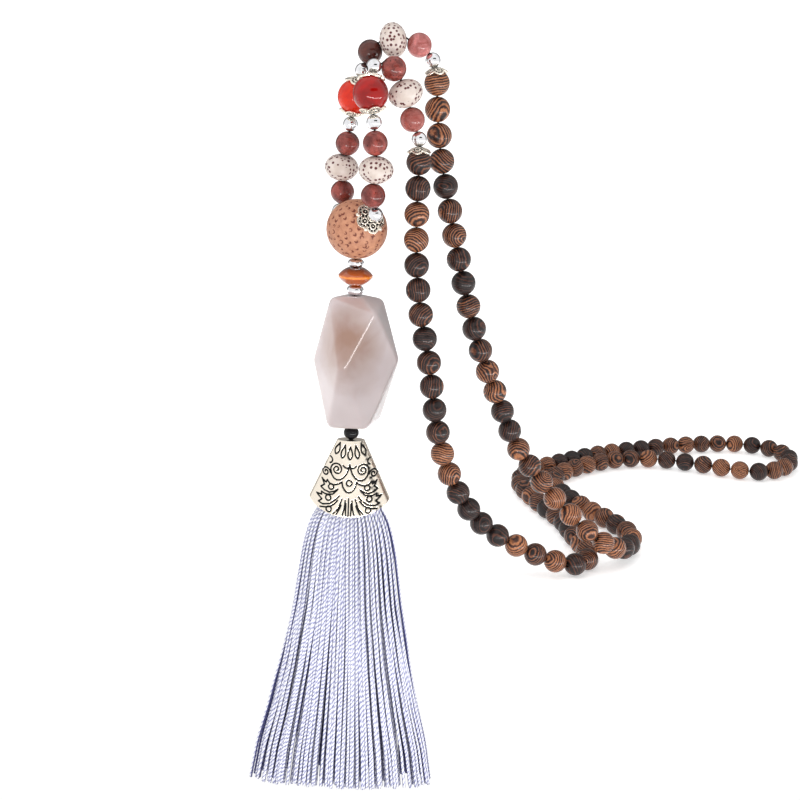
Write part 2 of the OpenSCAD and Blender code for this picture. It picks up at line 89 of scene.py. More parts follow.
# Scrollwork of the cone cap on one half: how far out from the middle and how far down from
# the top each line runs, in millimetres; the other half is its mirror image
SCROLL_LINES = (
    ((6.2, 9.3), (5.8, 10.9), (5.0, 11.9), (4.1, 12.3), (3.0, 12.2), (1.9, 11.5),
     (0.9, 10.2), (0.3, 8.7), (0.0, 7.3)),
    ((2.2, 7.7), (1.5, 8.3), (0.7, 8.5), (0.0, 8.1)),
    ((2.4, 12.8), (2.1, 14.2), (1.5, 15.2), (0.8, 15.9), (0.0, 16.1)),
    ((2.4, 12.8), (3.0, 13.3), (3.6, 13.6), (5.1, 14.0), (6.1, 13.8), (6.6, 13.4),
     (7.2, 12.7), (7.6, 13.5), (9.0, 12.5), (8.1, 14.2), (9.3, 15.1), (8.1, 15.9),
     (6.4, 16.4), (4.7, 15.9), (3.6, 15.2)),
    ((3.9, 15.6), (5.3, 16.9), (7.0, 17.1), (7.9, 17.0), (9.0, 16.5), (8.9, 17.4),
     (10.6, 17.3), (8.8, 18.8), (9.9, 19.7), (8.5, 20.3), (6.2, 19.9), (4.5, 18.7),
     (3.1, 17.3)),
    ((9.3, 21.2), (7.5, 21.1), (6.0, 20.8), (4.7, 19.9), (3.6, 18.7)),
    ((0.0, 18.0), (0.0, 23.4)),
    ((1.1, 18.5), (1.3, 21.0), (1.9, 23.2)),
    ((0.9, 19.4), (0.8, 23.3)),
    ((2.2, 18.2), (3.2, 21.1), (4.9, 22.9)),
    ((2.4, 20.1), (2.8, 21.1), (3.9, 23.0)),
)
# Spirals: centre out and down, outer and inner radius, first angle and turn in degrees
SCROLL_SPIRALS = (
    (4.2, 9.0, 2.0, 0.3, 0, 630),
    (7.8, 10.3, 1.45, 0.3, 180, -540),
    (6.7, 6.4, 0.95, 0.95, 100, 160),
    (0.0, 13.1, 0.9, 0.9, 0, 360),
    (5.9, 14.6, 0.85, 0.85, 0, 360),
    (6.7, 18.1, 0.85, 0.85, 0, 360),
    (6.4, 21.6, 0.85, 0.85, 0, 360),
)
# Long petals under the cone cap's top: tip out and down, foot out and down
SCROLL_PETALS = (((0.0, 1.7), (0.1, 5.7)), ((1.7, 1.3), (2.6, 5.4)), ((3.4, 0.7), (4.8, 4.3)))

# Lines of the scrollwork, in millimetres: half width of the cut at its floor and its edges,
# half width of the tarnish in it, and place, width and height of its lip; and wear of the rim
LINE_CUT, LINE_BLACK = (0.16, 0.3), (0.19, 0.33)
LIP_AT, LIP_WIDTH, LIP_HEIGHT = 0.5, 0.12, 0.03
RIM_WEAR = 0.25

# Tassel below the cone cap: share of the way down, and of the growth from the width and
# depth under the cap to those at the end
TASSEL_FLARE = (
    (0, 0, 0), (0.02, 0.1, 0.08), (0.084, 0.19, 0.25), (0.147, 0.25, 0.35),
    (0.33, 0.365, 0.5), (0.545, 0.545, 0.69), (0.71, 0.714, 0.82), (0.85, 0.884, 0.93),
    (1, 1, 1),
)
# Outer and inner threads: share of the number of outside threads, share of the way out, and
# how deep in shade each layer lies
TASSEL_LAYERS = {
    "tassel_outer_threads": ((1.0, 1.0, 0.0),),
    "tassel_inner_threads": ((0.55, 0.84, 0.3), (0.3, 0.55, 0.75), (0.12, 0.25, 1.0)),
}
# A tassel thread: one turn of its two plies in millimetres, rings along it, sides round it
PLY_PITCH = 3.4
THREAD_STEPS, THREAD_SIDES = 58, 6

# Flower caps: sheet, room over the bead and depth of the chasing in millimetres, number of
# petals, and a petal's half width as a share of the cap's width
CAP_THICKNESS = 0.6
BEAD_GAP = 0.12
CHASING = 0.34
PETALS = 5
PETAL_SHARE = 0.23

# Guru bead: height over width, depth of a pit and of a hole's mouth in millimetres, and the
# turn from one pit to the next that spreads them evenly
GURU_FLATNESS = 0.974
PIT_DEPTH = 0.16
HOLE_DEPTH = 1.8
GOLDEN_TURN = 2.39996

# Agate: the voxels it is made of in millimetres, and the rounds in which its edges soften
AGATE_VOXEL, AGATE_ROUNDS = 0.36, 14

# Lamps: way round from the front and up in degrees, distance, width and height in metres,
# watts, whether mirrors show it, and what it lights
LAMPS = (
    ("top_softbox", -25, 62, 0.9, 0.5, 0.5, 2.6, False, "all"),
    ("front_strip", 30, -15, 0.45, 1.1, 0.025, 2.0, True, "others"),
    ("edge_glint", 20, 10, 0.45, 0.4, 0.06, 1.0, True, "agate"),
    ("left_softbox", -75, 20, 0.9, 0.4, 0.6, 0.8, False, "all"),
)
# Tilt of the lamp whose glint follows the agate's front edge, in degrees
GLINT_TILT = 27
# Cards that only mirrors show: the same, with the card's grey in place of the watts
CARDS = (
    ("dark_flag", 25, 31, 0.9, 0.7, 0.28, 0.01),
    ("rear_flag", 180, 10, 0.7, 3.0, 1.6, 0.3),
)
WORLD_LIGHT = 0.63
TENT_RADIUS = 1.35
# Where lamps and cards face, in metres
LIT_PLACE = Vector((0.0, 0.0, -0.1))
# Camera: place in millimetres, tilt and turn in degrees, lens and film in millimetres
CAMERA_PLACE = (6.2, -437, 3.8)
CAMERA_TILT, CAMERA_TURN = 75.8, 2.1
LENS, FILM = 63, 36
# The floor under the lying loops, and the lower one under the tassel, in millimetres
LOOP_FLOOR, TASSEL_FLOOR = -173.3, -246
WHITE, BLACK = (1.0, 1.0, 1.0, 1.0), (0.0, 0.0, 0.0, 1.0)


# Places, read from the frame

def box_centre(node):
    low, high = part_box(node)
    return (low + high) / 2


def box_size(node):
    low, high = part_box(node)
    return high - low


def surface_centroid(node):
    """The middle of a node's surface, each triangle weighed by its area."""
    total, weight = Vector(), 0.0
    for face in frame["nodes"][node].data.polygons:
        total += face.center * face.area
        weight += face.area
    return total / weight


def wood_centres(side):
    """The centre of each wood bead of a side, as they are strung from its flower cap on."""
    node = SIDES[side]
    mesh = bmesh.new()
    mesh.from_mesh(frame["nodes"][node].data)
    bmesh.ops.remove_doubles(mesh, verts=mesh.verts, dist=0.001 * MM)
    seen, centres = set(), []
    for start in mesh.verts:
        if start in seen:
            continue
        seen.add(start)
        waiting, island = [start], []
        while waiting:
            vertex = waiting.pop()
            island.append(vertex.co.copy())
            for edge in vertex.link_edges:
                other = edge.other_vert(vertex)
                if other not in seen:
                    seen.add(other)
                    waiting.append(other)
        centres.append(Vector(
            (min(co[k] for co in island) + max(co[k] for co in island)) / 2
            for k in range(3)))
    mesh.free()
    strung, last = [], surface_centroid(side + "flower_cap_wood")
    while centres:
        following = min(centres, key=lambda centre: (centre - last).length)
        if (following - last).length > 10 * MM:
            raise RuntimeError(f"a bead of {node} lies off its string")
        centres.remove(following)
        strung.append(following)
        last = following
    return strung


def capped_ball(side, name):
    """Centre and radius of the ball that a flower cap hugs, and the way from it to the cap."""
    if name == "flower_cap_guru":
        ball, width = box_centre("guru_bead"), box_size("guru_bead").x
    elif name == "flower_cap_wood":
        ball, width = wood_centres(side)[0], sizes().wood_bead
    else:
        ball = box_centre(side + "carnelian_bead")
        width = box_size(side + "carnelian_bead").z
    return ball, width / 2, (surface_centroid(side + name) - ball).normalized()


def strung_places():
    """Name, centre and hole's way of every bead, in order from the guru bead's front hole."""
    def side_places(side):
        for name in ORNAMENTS:
            if name.startswith("flower_cap"):
                ball, radius, way = capped_ball(side, name)
                centre = ball + way * (radius + (BEAD_GAP + CAP_THICKNESS / 2) * MM)
            else:
                centre = box_centre(side + name)
            yield side + name, centre

    rows = list(side_places("front_"))
    rows += [("wood_left", place) for place in wood_centres("front_")]
    rows += [("wood_right", place) for place in reversed(wood_centres("back_"))]
    rows += reversed(list(side_places("back_")))
    places = []
    for i, (name, centre) in enumerate(rows):
        before = rows[max(i - 1, 0)][1]
        after = rows[min(i + 1, len(rows) - 1)][1]
        places.append((name, centre, (after - before).normalized()))
    return places


def along_hole(centre, way):
    """The place of a bead modelled at the origin with its hole along Z."""
    return (Matrix.Translation(centre)
            @ Matrix.Rotation(math.atan2(way.y, way.x), 4, "Z")
            @ Matrix.Rotation(math.acos(max(-1.0, min(1.0, way.z))), 4, "Y"))


# Modelling, as by hand

def deselect():
    if bpy.context.mode != "OBJECT":
        bpy.ops.object.mode_set(mode="OBJECT")
    bpy.ops.object.select_all(action="DESELECT")


def activate(piece):
    deselect()
    piece.select_set(True)
    bpy.context.view_layer.objects.active = piece


@contextmanager
def editing(piece):
    """Edit mode on one piece, with all of it selected at first."""
    activate(piece)
    bpy.ops.object.mode_set(mode="EDIT")
    bpy.ops.mesh.select_mode(type="VERT")
    bpy.ops.mesh.select_all(action="SELECT")
    yield
    bpy.ops.object.mode_set(mode="OBJECT")


def just_added(name):
    """The primitive that was added last, under its own name."""
    piece = bpy.context.active_object
    piece.name = piece.data.name = name
    return piece


def sphere(name, segments, rings, radius, place=(0, 0, 0)):
    deselect()
    bpy.ops.mesh.primitive_uv_sphere_add(
        segments=segments, ring_count=rings, radius=radius, location=place)
    return just_added(name)


def copied(piece, name):
    """A copy of a piece, with its own mesh."""
    copy = piece.copy()
    copy.data = piece.data.copy()
    copy.name = copy.data.name = name
    bpy.context.scene.collection.objects.link(copy)
    return copy


def joined(piece, others):
    """Join other pieces into this one."""
    activate(piece)
    for other in others:
        other.select_set(True)
    if others:
        bpy.ops.object.join()
    return piece


def modify(piece, kind, **settings):
    """Add a modifier to the active piece and apply it."""
    modifier = piece.modifiers.new(kind, kind)
    for key, value in settings.items():
        setattr(modifier, key, value)
    bpy.ops.object.modifier_apply(modifier=modifier.name)


def pick(piece, test):
    """Select the vertices that pass a test, with the edges and faces between them."""
    mesh = bmesh.from_edit_mesh(piece.data)
    for part in (mesh.faces, mesh.edges, mesh.verts):
        for element in part:
            element.select = False
    for vertex in mesh.verts:
        vertex.select = test(vertex)
    mesh.select_flush(True)
    bmesh.update_edit_mesh(piece.data)


def face_outwards(piece):
    with editing(piece):
        bpy.ops.mesh.normals_make_consistent(inside=False)
    bpy.ops.object.shade_smooth()


def smooth(piece, degrees):
    """Shade smoothly, apart from edges sharper than this."""
    activate(piece)
    bpy.ops.object.shade_smooth_by_angle(angle=math.radians(degrees))


def drilled_ball(name, width, height, segments, rings):
    """A ball or seed at the origin with its hole along Z and a worn edge round the hole."""
    bore = sizes().bore
    ball = sphere(name, segments, rings, width / 2)
    with editing(ball):
        bpy.ops.transform.resize(value=(1, 1, height / width), center_override=(0, 0, 0))
        pick(ball, lambda v: math.hypot(v.co.x, v.co.y) < bore * 0.62)
        bpy.ops.mesh.delete(type="VERT")
        for reach, drop in ((bore * 0.6, 0.995), (bore * 0.5, 0.97)):
            pick(ball, lambda v: v.is_boundary)
            mesh = bmesh.from_edit_mesh(ball.data)
            rim = next(v for v in mesh.verts if v.is_boundary)
            share = reach / math.hypot(rim.co.x, rim.co.y)
            surface = math.sqrt(max(1 - (2 * reach / width) ** 2, 0)) * height / 2
            bpy.ops.mesh.extrude_region_move()
            bpy.ops.transform.resize(
                value=(share, share, surface * drop / abs(rim.co.z)),
                center_override=(0, 0, 0))
        pick(ball, lambda v: v.is_boundary)
        bpy.ops.mesh.bridge_edge_loops()
    face_outwards(ball)
    smooth(ball, 40)
    return ball


def vertex_places(mesh):
    places = np.zeros(len(mesh.vertices) * 3, np.float32)
    mesh.vertices.foreach_get("co", places)
    return places.reshape(-1, 3)


def move_vertices(mesh, places):
    mesh.vertices.foreach_set("co", np.asarray(places, np.float32).ravel())
    mesh.update()


def keep(mesh, name, values):
    """Keep a number or a vector for each vertex, for the finish to read."""
    values = np.asarray(values, np.float32)
    vector = values.ndim == 2
    attribute = mesh.attributes.new(name, "FLOAT_VECTOR" if vector else "FLOAT", "POINT")
    attribute.data.foreach_set("vector" if vector else "value", values.ravel())


def dress(piece, finish, slot, *nodes):
    """Give a finished piece its material and its place on the frame, and hide the nodes that
    it stands for.
    """
    piece.data.materials.clear()
    piece.data.materials.append(finish)
    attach(piece, "root")
    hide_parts(*nodes)


def repaint(word, finish):
    """Give each node of the frame whose name holds this word a better material."""
    for name, node in frame["nodes"].items():
        if word in name:
            for place in node.material_slots:
                place.material = finish
            if not node.material_slots:
                node.data.materials.append(finish)


def ring_shape(name, places):
    """A closed band from a table of places, with columns round it and rows across it, even
    numbers of both, and for each of its vertices its entry in the table."""
    columns, rows = places.shape[:2]
    deselect()
    bpy.ops.mesh.primitive_torus_add(
        major_segments=columns // 2, minor_segments=rows // 2,
        major_radius=1, minor_radius=0.25, generate_uvs=False)
    ring = just_added(name)
    with editing(ring):
        bpy.ops.mesh.subdivide(number_cuts=1)
    x, y, z = vertex_places(ring.data).T
    column = np.rint(np.arctan2(y, x) / math.tau * columns).astype(int) % columns
    row = np.rint(np.arctan2(z, np.hypot(x, y) - 1) / math.tau * rows).astype(int) % rows
    order = column * rows + row
    move_vertices(ring.data, places.reshape(-1, 3)[order] * MM)
    return ring, order


def full_turn(columns):
    """Angles once round, one to a column."""
    return np.linspace(0, math.tau, columns, endpoint=False)[:, None]


def step(values, low, high):
    """Rise smoothly from 0 at low to 1 at high."""
    share = np.clip((values - low) / (high - low), 0, 1)
    return share * share * (3 - 2 * share)


def fall(values, low, high):
    """Fall smoothly from 1 at low to 0 at high."""
    return 1 - step(values, low, high)


def unit(vectors):
    return vectors / np.linalg.norm(vectors, axis=-1, keepdims=True)


def string_copies(template, name, places, chance, turned):
    """Copy a bead to each place, give each copy its own look, and join them."""
    own = vertex_places(template.data) / MM
    copies = []
    for centre, way in places:
        copy = copied(template, name)
        if turned:
            turn = Matrix.Rotation(chance.uniform(0, math.tau), 3, "Z") \
                @ Matrix.Rotation(math.acos(chance.uniform(-1, 1)), 3, "X") \
                @ Matrix.Rotation(chance.uniform(0, math.tau), 3, "Z")
            shift = np.array([chance.uniform(2, 16), 0, chance.uniform(-60, 60)])
            keep(copy.data, "grain", own @ np.array(turn).T + shift)
        else:
            keep(copy.data, "local", own)
        keep(copy.data, "tone", np.full(len(own), chance.random()))
        copy.data.transform(along_hole(centre, way))
        copies.append(copy)
    return joined(copies[0], copies[1:])


# Materials

def linear(colour):
    """A colour as it is seen, turned into the shader's own values."""
    return (*Color(colour[:3]).from_srgb_to_scene_linear(), 1.0)


class Finish:
    """A material whose nodes are added one call at a time."""

    def __init__(self, name):
        self.material = bpy.data.materials.new(name)
        self.material.use_nodes = True
        self.tree = self.material.node_tree
        self.tree.nodes.clear()
        out = self.tree.nodes.new("ShaderNodeOutputMaterial")
        self.shader = self.tree.nodes.new("ShaderNodeBsdfPrincipled")
        self.tree.links.new(self.shader.outputs[0], out.inputs["Surface"])
        self.object_place = None

    def set(self, **sockets):
        for name, value in sockets.items():
            self.plug(self.shader, name.replace("_", " "), value)

    def plug(self, node, key, value):
        socket = node.inputs[key]
        if isinstance(value, bpy.types.NodeSocket):
            self.tree.links.new(value, socket)
        else:
            socket.default_value = value

    def add(self, kind, sockets, output=0, **settings):
        node = self.tree.nodes.new("ShaderNode" + kind)
        for key, value in settings.items():
            setattr(node, key, value)
        for key, value in sockets.items():
            self.plug(node, key, value)
        return node.outputs[output]

    def place(self):
        """Object coordinates in millimetres."""
        if self.object_place is None:
            coordinates = self.add("TexCoord", {}, "Object")
            self.object_place = self.add(
                "VectorMath", {0: coordinates, "Scale": 1 / MM}, operation="SCALE")
        return self.object_place

    def kept(self, name, output="Fac"):
        return self.add("Attribute", {}, output, attribute_name=name)

    def axis(self, vector, index):
        return self.add("SeparateXYZ", {0: vector}, index)

    def vector(self, operation, one, two):
        return self.add("VectorMath", {0: one, 1: two}, operation=operation)

    def math(self, operation, one, two=0.0):
        return self.add("Math", {0: one, 1: two}, operation=operation)

    def total(self, *terms):
        """The sum of values, each less its middle where it has one, and times its weight."""
        result = None
        for value, weight, *middle in terms:
            if middle:
                value = self.math("SUBTRACT", value, middle[0])
            if weight != 1:
                value = self.math("MULTIPLY", value, weight)
            result = value if result is None else self.math("ADD", result, value)
        return result

    def noise(self, place, scale, detail=3.0, roughness=0.5, distortion=0.0):
        return self.add("TexNoise", {
            "Vector": place, "Scale": scale, "Detail": detail, "Roughness": roughness,
            "Distortion": distortion})

    def wave(self, place, scale, distortion, detail, detail_scale, roughness, **kind):
        return self.add("TexWave", {
            "Vector": place, "Scale": scale, "Distortion": distortion, "Detail": detail,
            "Detail Scale": detail_scale, "Detail Roughness": roughness}, "Fac", **kind)

    def ramp(self, factor, *stops):
        """A colour or grey for each step of a factor; greys are single numbers."""
        node = self.tree.nodes.new("ShaderNodeValToRGB")
        self.plug(node, "Fac", factor)
        elements = node.color_ramp.elements
        while len(elements) < len(stops):
            elements.new(0.5)
        for element, (position, value) in zip(elements, stops):
            element.position = position
            element.color = (value, value, value, 1) if isinstance(value, (int, float)) \
                else linear(value)
        return node.outputs["Color"]

    def mix(self, factor, one, two, blend="MIX"):
        one, two = (value if isinstance(value, bpy.types.NodeSocket) else linear(value)
                    for value in (one, two))
        return self.add("Mix", {0: factor, 6: one, 7: two}, 2,
                        data_type="RGBA", blend_type=blend)

    def depth(self, weight, radius, scale):
        """Let light in: how much, how far each of red, green and blue goes, and the scale."""
        self.set(Subsurface_Weight=weight, Subsurface_Radius=radius, Subsurface_Scale=scale)

    def bump(self, height, distance, strength=1.0):
        normal = self.add("Bump", {
            "Height": height, "Distance": distance * MM, "Strength": strength})
        self.plug(self.shader, "Normal", normal)


def wood_finish(colours):
    """Dark hardwood: fine wavy growth lines, a few wide ones, and each bead its own shade."""
    f = Finish("striped_wood")
    grain = f.kept("grain", "Vector")
    rings = {"wave_type": "RINGS", "rings_direction": "Z"}
    fine = f.wave(grain, 0.42, 5.0, 4.0, 0.8, 0.65, **rings)
    wide = f.wave(grain, 0.13, 7.0, 2.0, 0.9, 0.5, **rings)
    pores = f.noise(f.vector("MULTIPLY", grain, (9.0, 9.0, 1.2)), 0.9, 2.0)
    lines = f.total((fine, 0.62), (wide, 0.16), (f.noise(grain, 0.35, 2.0), 0.3),
                    (f.kept("tone"), 0.6, 0.7))
    colour = f.ramp(lines, (0.3, colours.wood_dark), (0.58, colours.wood_middle),
                    (0.95, colours.wood_light))
    f.set(Base_Color=f.mix(1.0, colour, f.ramp(pores, (0.34, 0.45), (0.5, 1.0)), "MULTIPLY"),
          Roughness=f.ramp(lines, (0.2, 0.4), (0.8, 0.32)),
          Specular_IOR_Level=0.2, Coat_Weight=0.3, Coat_Roughness=0.1)
    f.bump(f.total((fine, 1), (pores, 0.8)), 0.02)
    return f.material


def jasper_finish(name, base, deep, specks):
    """Polished red stone with clouds, veins and dark specks."""
    f = Finish(name)
    clouds = f.noise(f.place(), 0.28, 4.0, 0.6, 0.6)
    veins = f.noise(f.place(), 0.5, 5.0, 0.65, 2.2)
    colour = f.ramp(clouds, (0.36, deep), (0.52, base),
                    (0.68, [min(1, c * 1.22) for c in base]))
    vein = f.ramp(f.math("ABSOLUTE", f.total((veins, 1, 0.5))), (0.0, 1.0), (0.025, 0.0))
    speck = f.ramp(f.noise(f.place(), 1.1, 3.0, 0.6), (0.63, 0.0), (0.69, 1.0))
    for mark, strength in ((vein, 0.45), (speck, 0.85)):
        colour = f.mix(f.total((mark, strength)), colour, specks)
    f.set(Base_Color=colour, Roughness=0.2, Specular_IOR_Level=0.3, Coat_Weight=0.35,
          Coat_Roughness=0.04)
    f.depth(0.04, (1.0, 0.4, 0.3), 0.001)
    return f.material


def carnelian_finish(name, light, deep):
    """Clear red stone: light comes in, with a darker cloud inside."""
    f = Finish(name)
    clouds = f.noise(f.place(), 0.12, 3.0, 0.5, 0.8)
    f.set(Base_Color=f.ramp(clouds, (0.36, deep), (0.62, light)), Roughness=0.1,
          Specular_IOR_Level=0.25, Coat_Weight=0.35, Coat_Roughness=0.02)
    f.depth(0.12, (1.0, 0.15, 0.08), 0.002)
    return f.material


def lotus_finish(colours):
    """Cream seed with maroon dots, close together near the holes and few at the middle."""
    f = Finish("dotted_seed")
    local = f.kept("local", "Vector")
    tone = f.kept("tone")
    shift = f.add("CombineXYZ", {0: f.total((tone, 90.0)), 1: f.total((tone, 37.0)), 2: 0.0})
    place = f.vector("ADD", local, shift)
    dots, number = (f.add("TexVoronoi", {"Vector": place, "Scale": 0.82, "Randomness": 0.6},
                          output, feature="F1", distance="EUCLIDEAN")
                    for output in ("Distance", "Color"))
    chance = f.math("FRACT", f.total((f.axis(number, 0), 7.3)))
    crowd = f.total((f.math("ABSOLUTE", f.axis(local, 2)), 0.12),
                    (f.noise(place, 0.16, 1.0), 1.4), (f.kept("bare"), -1))
    present = f.math("LESS_THAN", f.total((chance, 0.5)), crowd)
    reach = f.total((dots, 1), (f.noise(place, 2.4, 2.0), 0.14, 0.5))
    dot = f.math("MULTIPLY", f.ramp(reach, (0.33, 1.0), (0.4, 0.0)), present)
    cream = f.ramp(f.noise(place, 0.4, 3.0), (0.35, colours.seed_shade), (0.65, colours.seed))
    f.set(Base_Color=f.mix(dot, cream, colours.seed_dot), Roughness=0.4,
          Coat_Weight=0.2, Coat_Roughness=0.25)
    f.depth(0.1, (1.0, 0.8, 0.6), 0.0006)
    f.bump(f.total((f.noise(place, 1.6, 3.0), 1), (dot, -1)), 0.03)
    return f.material


def silver_finish(name, colour, polish):
    """Bright silver with faint rubbing marks."""
    f = Finish(name)
    haze = f.noise(f.place(), 0.9, 4.0)
    scratches = f.noise(f.vector("MULTIPLY", f.place(), (1.0, 1.0, 14.0)), 1.2, 3.0)
    f.set(Base_Color=f.ramp(haze, (0.3, [c * 0.93 for c in colour]), (0.7, colour)),
          Metallic=1.0, Roughness=f.ramp(haze, (0.3, polish), (0.75, polish + 0.07)))
    f.bump(scratches, 0.004, 0.5)
    return f.material


def patina_finish(name, colour, tarnish):
    """Old silver: bright on what stands out and black in the grooves."""
    f = Finish(name)
    wear = f.noise(f.place(), 1.3, 4.0, 0.6)
    black = f.ramp(f.total((f.kept("groove"), 1), (wear, 0.5, 0.5)), (0.3, 0.0), (0.62, 1.0))
    f.set(Base_Color=f.mix(black, colour, tarnish),
          Metallic=f.ramp(black, (0.0, 1.0), (1.0, 0.2)), Specular_IOR_Level=0.2,
          Roughness=f.ramp(f.total((black, 1), (wear, 0.3)), (0.1, 0.2), (1.0, 0.6)))
    f.bump(f.noise(f.place(), 3.0, 3.0), 0.015, 0.6)
    return f.material


def guru_finish(colours):
    """Matt tan nut shell with brown pits."""
    f = Finish("pitted_shell")
    pit = f.kept("pit")
    mottle = f.noise(f.place(), 0.55, 5.0, 0.65)
    fibres = f.noise(f.place(), 2.5, 3.0, 0.6)
    base = f.ramp(mottle, (0.3, colours.shell_shade), (0.7, colours.shell))
    for mark in (f.ramp(fibres, (0.55, 0.0), (0.75, 0.25)),
                 f.ramp(pit, (0.12, 0.0), (0.6, 1.0))):
        base = f.mix(mark, base, colours.shell_pit)
    f.set(Base_Color=base, Roughness=0.55, Coat_Weight=0.12, Coat_Roughness=0.35)
    f.bump(f.total((fibres, 0.5), (pit, -1)), 0.05)
    return f.material


def amber_finish(colours):
    """Silky brown stone with fine threads and a painted highlight as a bright band round its
    rim.
    """
    f = Finish("silky_amber")
    middle = box_centre("amber_disc").z / MM
    silk = f.noise(f.vector("MULTIPLY", f.place(), (1.0, 1.0, 9.0)), 0.55, 4.0, 0.6)
    level = f.total((f.axis(f.place(), 2), 0.17, middle), (silk, 0.22, 0.5))
    # Colour by height; the bright band at the rim is a painted highlight
    f.set(Base_Color=f.ramp(f.math("ADD", level, 0.5), (0.05, colours.amber_low),
                            (0.42, colours.amber_low), (0.5, colours.amber_rim_highlight),
                            (0.6, colours.amber), (0.95, colours.amber_top)),
          Roughness=0.16, Coat_Weight=0.9, Coat_Roughness=0.05, Anisotropic=0.5)
    f.depth(0.06, (1.0, 0.4, 0.1), 0.001)
    f.bump(silk, 0.01, 0.4)
    return f.material


def agate_finish(colours):
    """Milky agate with a painted reflection: brown over the upper front, paler towards the
    ends and sides.
    """
    f = Finish("milky_agate")
    # Painted reflection: brown near a point at the upper front, fading with distance and noise
    heart = box_centre("agate") / MM + Vector((-1.5, -7.0, 7.0))
    away = f.vector("SUBTRACT", f.place(), tuple(heart))
    away = f.vector("MULTIPLY", away, (0.085, 0.07, 0.06))
    reach = f.add("VectorMath", {0: away}, "Value", operation="LENGTH")
    reach = f.total((reach, 1), (f.noise(f.place(), 0.09, 3.0, 0.5, 0.6), 0.7, 0.5))
    milk = f.ramp(f.noise(f.place(), 0.05, 2.0), (0.35, colours.agate_grey),
                  (0.65, colours.agate_milk))
    f.set(Base_Color=f.mix(f.ramp(reach, (0.3, 1.0), (1.0, 0.0)), milk, colours.agate_painted_reflection),
          Roughness=0.3, Coat_Weight=0.9, Coat_Roughness=0.08)
    f.depth(0.35, (1.0, 0.8, 0.75), 0.003)
    f.bump(f.noise(f.place(), 0.5, 3.0), 0.02, 0.5)
    return f.material


def black_finish(colours):
    """Polished black stone with a faint haze."""
    f = Finish("black_stone")
    haze = f.noise(f.place(), 1.2, 3.0)
    f.set(Base_Color=f.ramp(haze, (0.3, colours.black_stone),
                            (0.7, [c * 1.6 for c in colours.black_stone])),
          Roughness=f.ramp(haze, (0.3, 0.07), (0.7, 0.12)), Specular_IOR_Level=0.2,
          Coat_Weight=0.15, Coat_Roughness=0.03)
    return f.material


def string_finish(colours):
    """Dark waxed thread, seen only between beads."""
    f = Finish("dark_thread")
    plies = f.wave(f.place(), 0.45, 1.0, 2.0, 1.0, 0.5,
                   wave_type="BANDS", bands_direction="DIAGONAL")
    f.set(Base_Color=f.ramp(plies, (0.1, colours.string),
                            (0.9, [c * 1.8 for c in colours.string])), Roughness=0.65)
    f.bump(plies, 0.05)
    return f.material


def tassel_finish(colours):
    """Two-ply twisted thread with painted light and shade: a painted highlight on the crowns,
    and painted shade in the twist, on the sides between threads and deep inside.
    """
    f = Finish("twisted_thread")
    # Painted shade on each thread's sides, where it faces its neighbours
    side_shade = f.ramp(f.kept("crest"), (0.1, 1.0), (0.65, 0.0))
    turn = f.total((f.kept("along"), math.tau / PLY_PITCH))
    round_it = f.axis(f.kept("round", "Vector"), 0).node.outputs
    ply = f.math("SUBTRACT", f.math("MULTIPLY", round_it[1], f.math("COSINE", turn)),
                 f.math("MULTIPLY", round_it[0], f.math("SINE", turn)))
    crown = f.math("ABSOLUTE", ply)
    shade = f.total((crown, 0.7), (f.noise(f.place(), 4.0, 3.0), 0.35),
                    (f.kept("tone"), 0.15, 0.5))
    # Painted highlight on the crowns of the twist and painted shade between the plies, with a
    # little noise and each thread's own tone
    colour = f.ramp(shade, (0.1, colours.tassel_ply_shade), (0.4, colours.tassel),
                    (0.8, colours.tassel_crown_highlight))
    # Painted shade: the core colour over the sides between threads and over the inner layers
    for mark in (side_shade, f.kept("depth")):
        colour = f.mix(mark, colour, colours.tassel_inner_shade)
    f.set(Base_Color=colour, Roughness=0.6, Sheen_Weight=0.2, Sheen_Roughness=0.4)
    f.bump(crown, 0.2)
    return f.material


def shining_finish(name, strength):
    """A card or tent that shines by itself and mirrors nothing."""
    f = Finish(name)
    f.set(Base_Color=BLACK, Roughness=1.0, Specular_IOR_Level=0.0,
          Emission_Color=WHITE, Emission_Strength=strength)
    return f.material


# Sizes and colours that a user would change

def measure(name, description, default):
    return bpy.props.FloatProperty(
        name=name, description=description, default=default * MM, min=0.0, unit="LENGTH")


def tint(name, description, default):
    return bpy.props.FloatVectorProperty(
        name=name, description=description, default=default, min=0.0, max=1.0,
        size=3, subtype="COLOR_GAMMA")


class NecklaceSizes(bpy.types.PropertyGroup):
    wood_bead: measure("Wood bead", "Diameter of one wood bead", 7.85)
    bore: measure("Hole", "Diameter of the hole through a bead", 1.6)
    tassel_thread: measure("Tassel thread", "Thickness of one tassel thread", 1.02)
    pit: measure("Pit", "Width of a pit in the guru bead", 1.35)
    relief: measure("Relief", "Depth of the cone cap's engraving", 0.28)
    cone_top: measure("Cone top", "Width of the cone cap at its top", 8.9)
    cone_sag: measure("Cone sag", "Drop of the cone cap's rim at its middle", 4.3)
    cone_wall: measure("Cone wall", "Wall of the cone cap", 1.0)
    guru_cap: measure("Guru cap", "Width of the guru bead's caps", 9.8)
    carnelian_cap: measure("Carnelian cap", "Width of a carnelian bead's caps", 8.4)
    wood_cap: measure("Wood cap", "Width of the caps on wood beads", 7.3)
    tassel_threads: bpy.props.IntProperty(
        name="Tassel threads", description="Threads on the outside of the tassel",
        default=132, min=20, max=200)
    pits: bpy.props.IntProperty(
        name="Pits", description="Pits all over the guru bead", default=230, min=0, max=400)


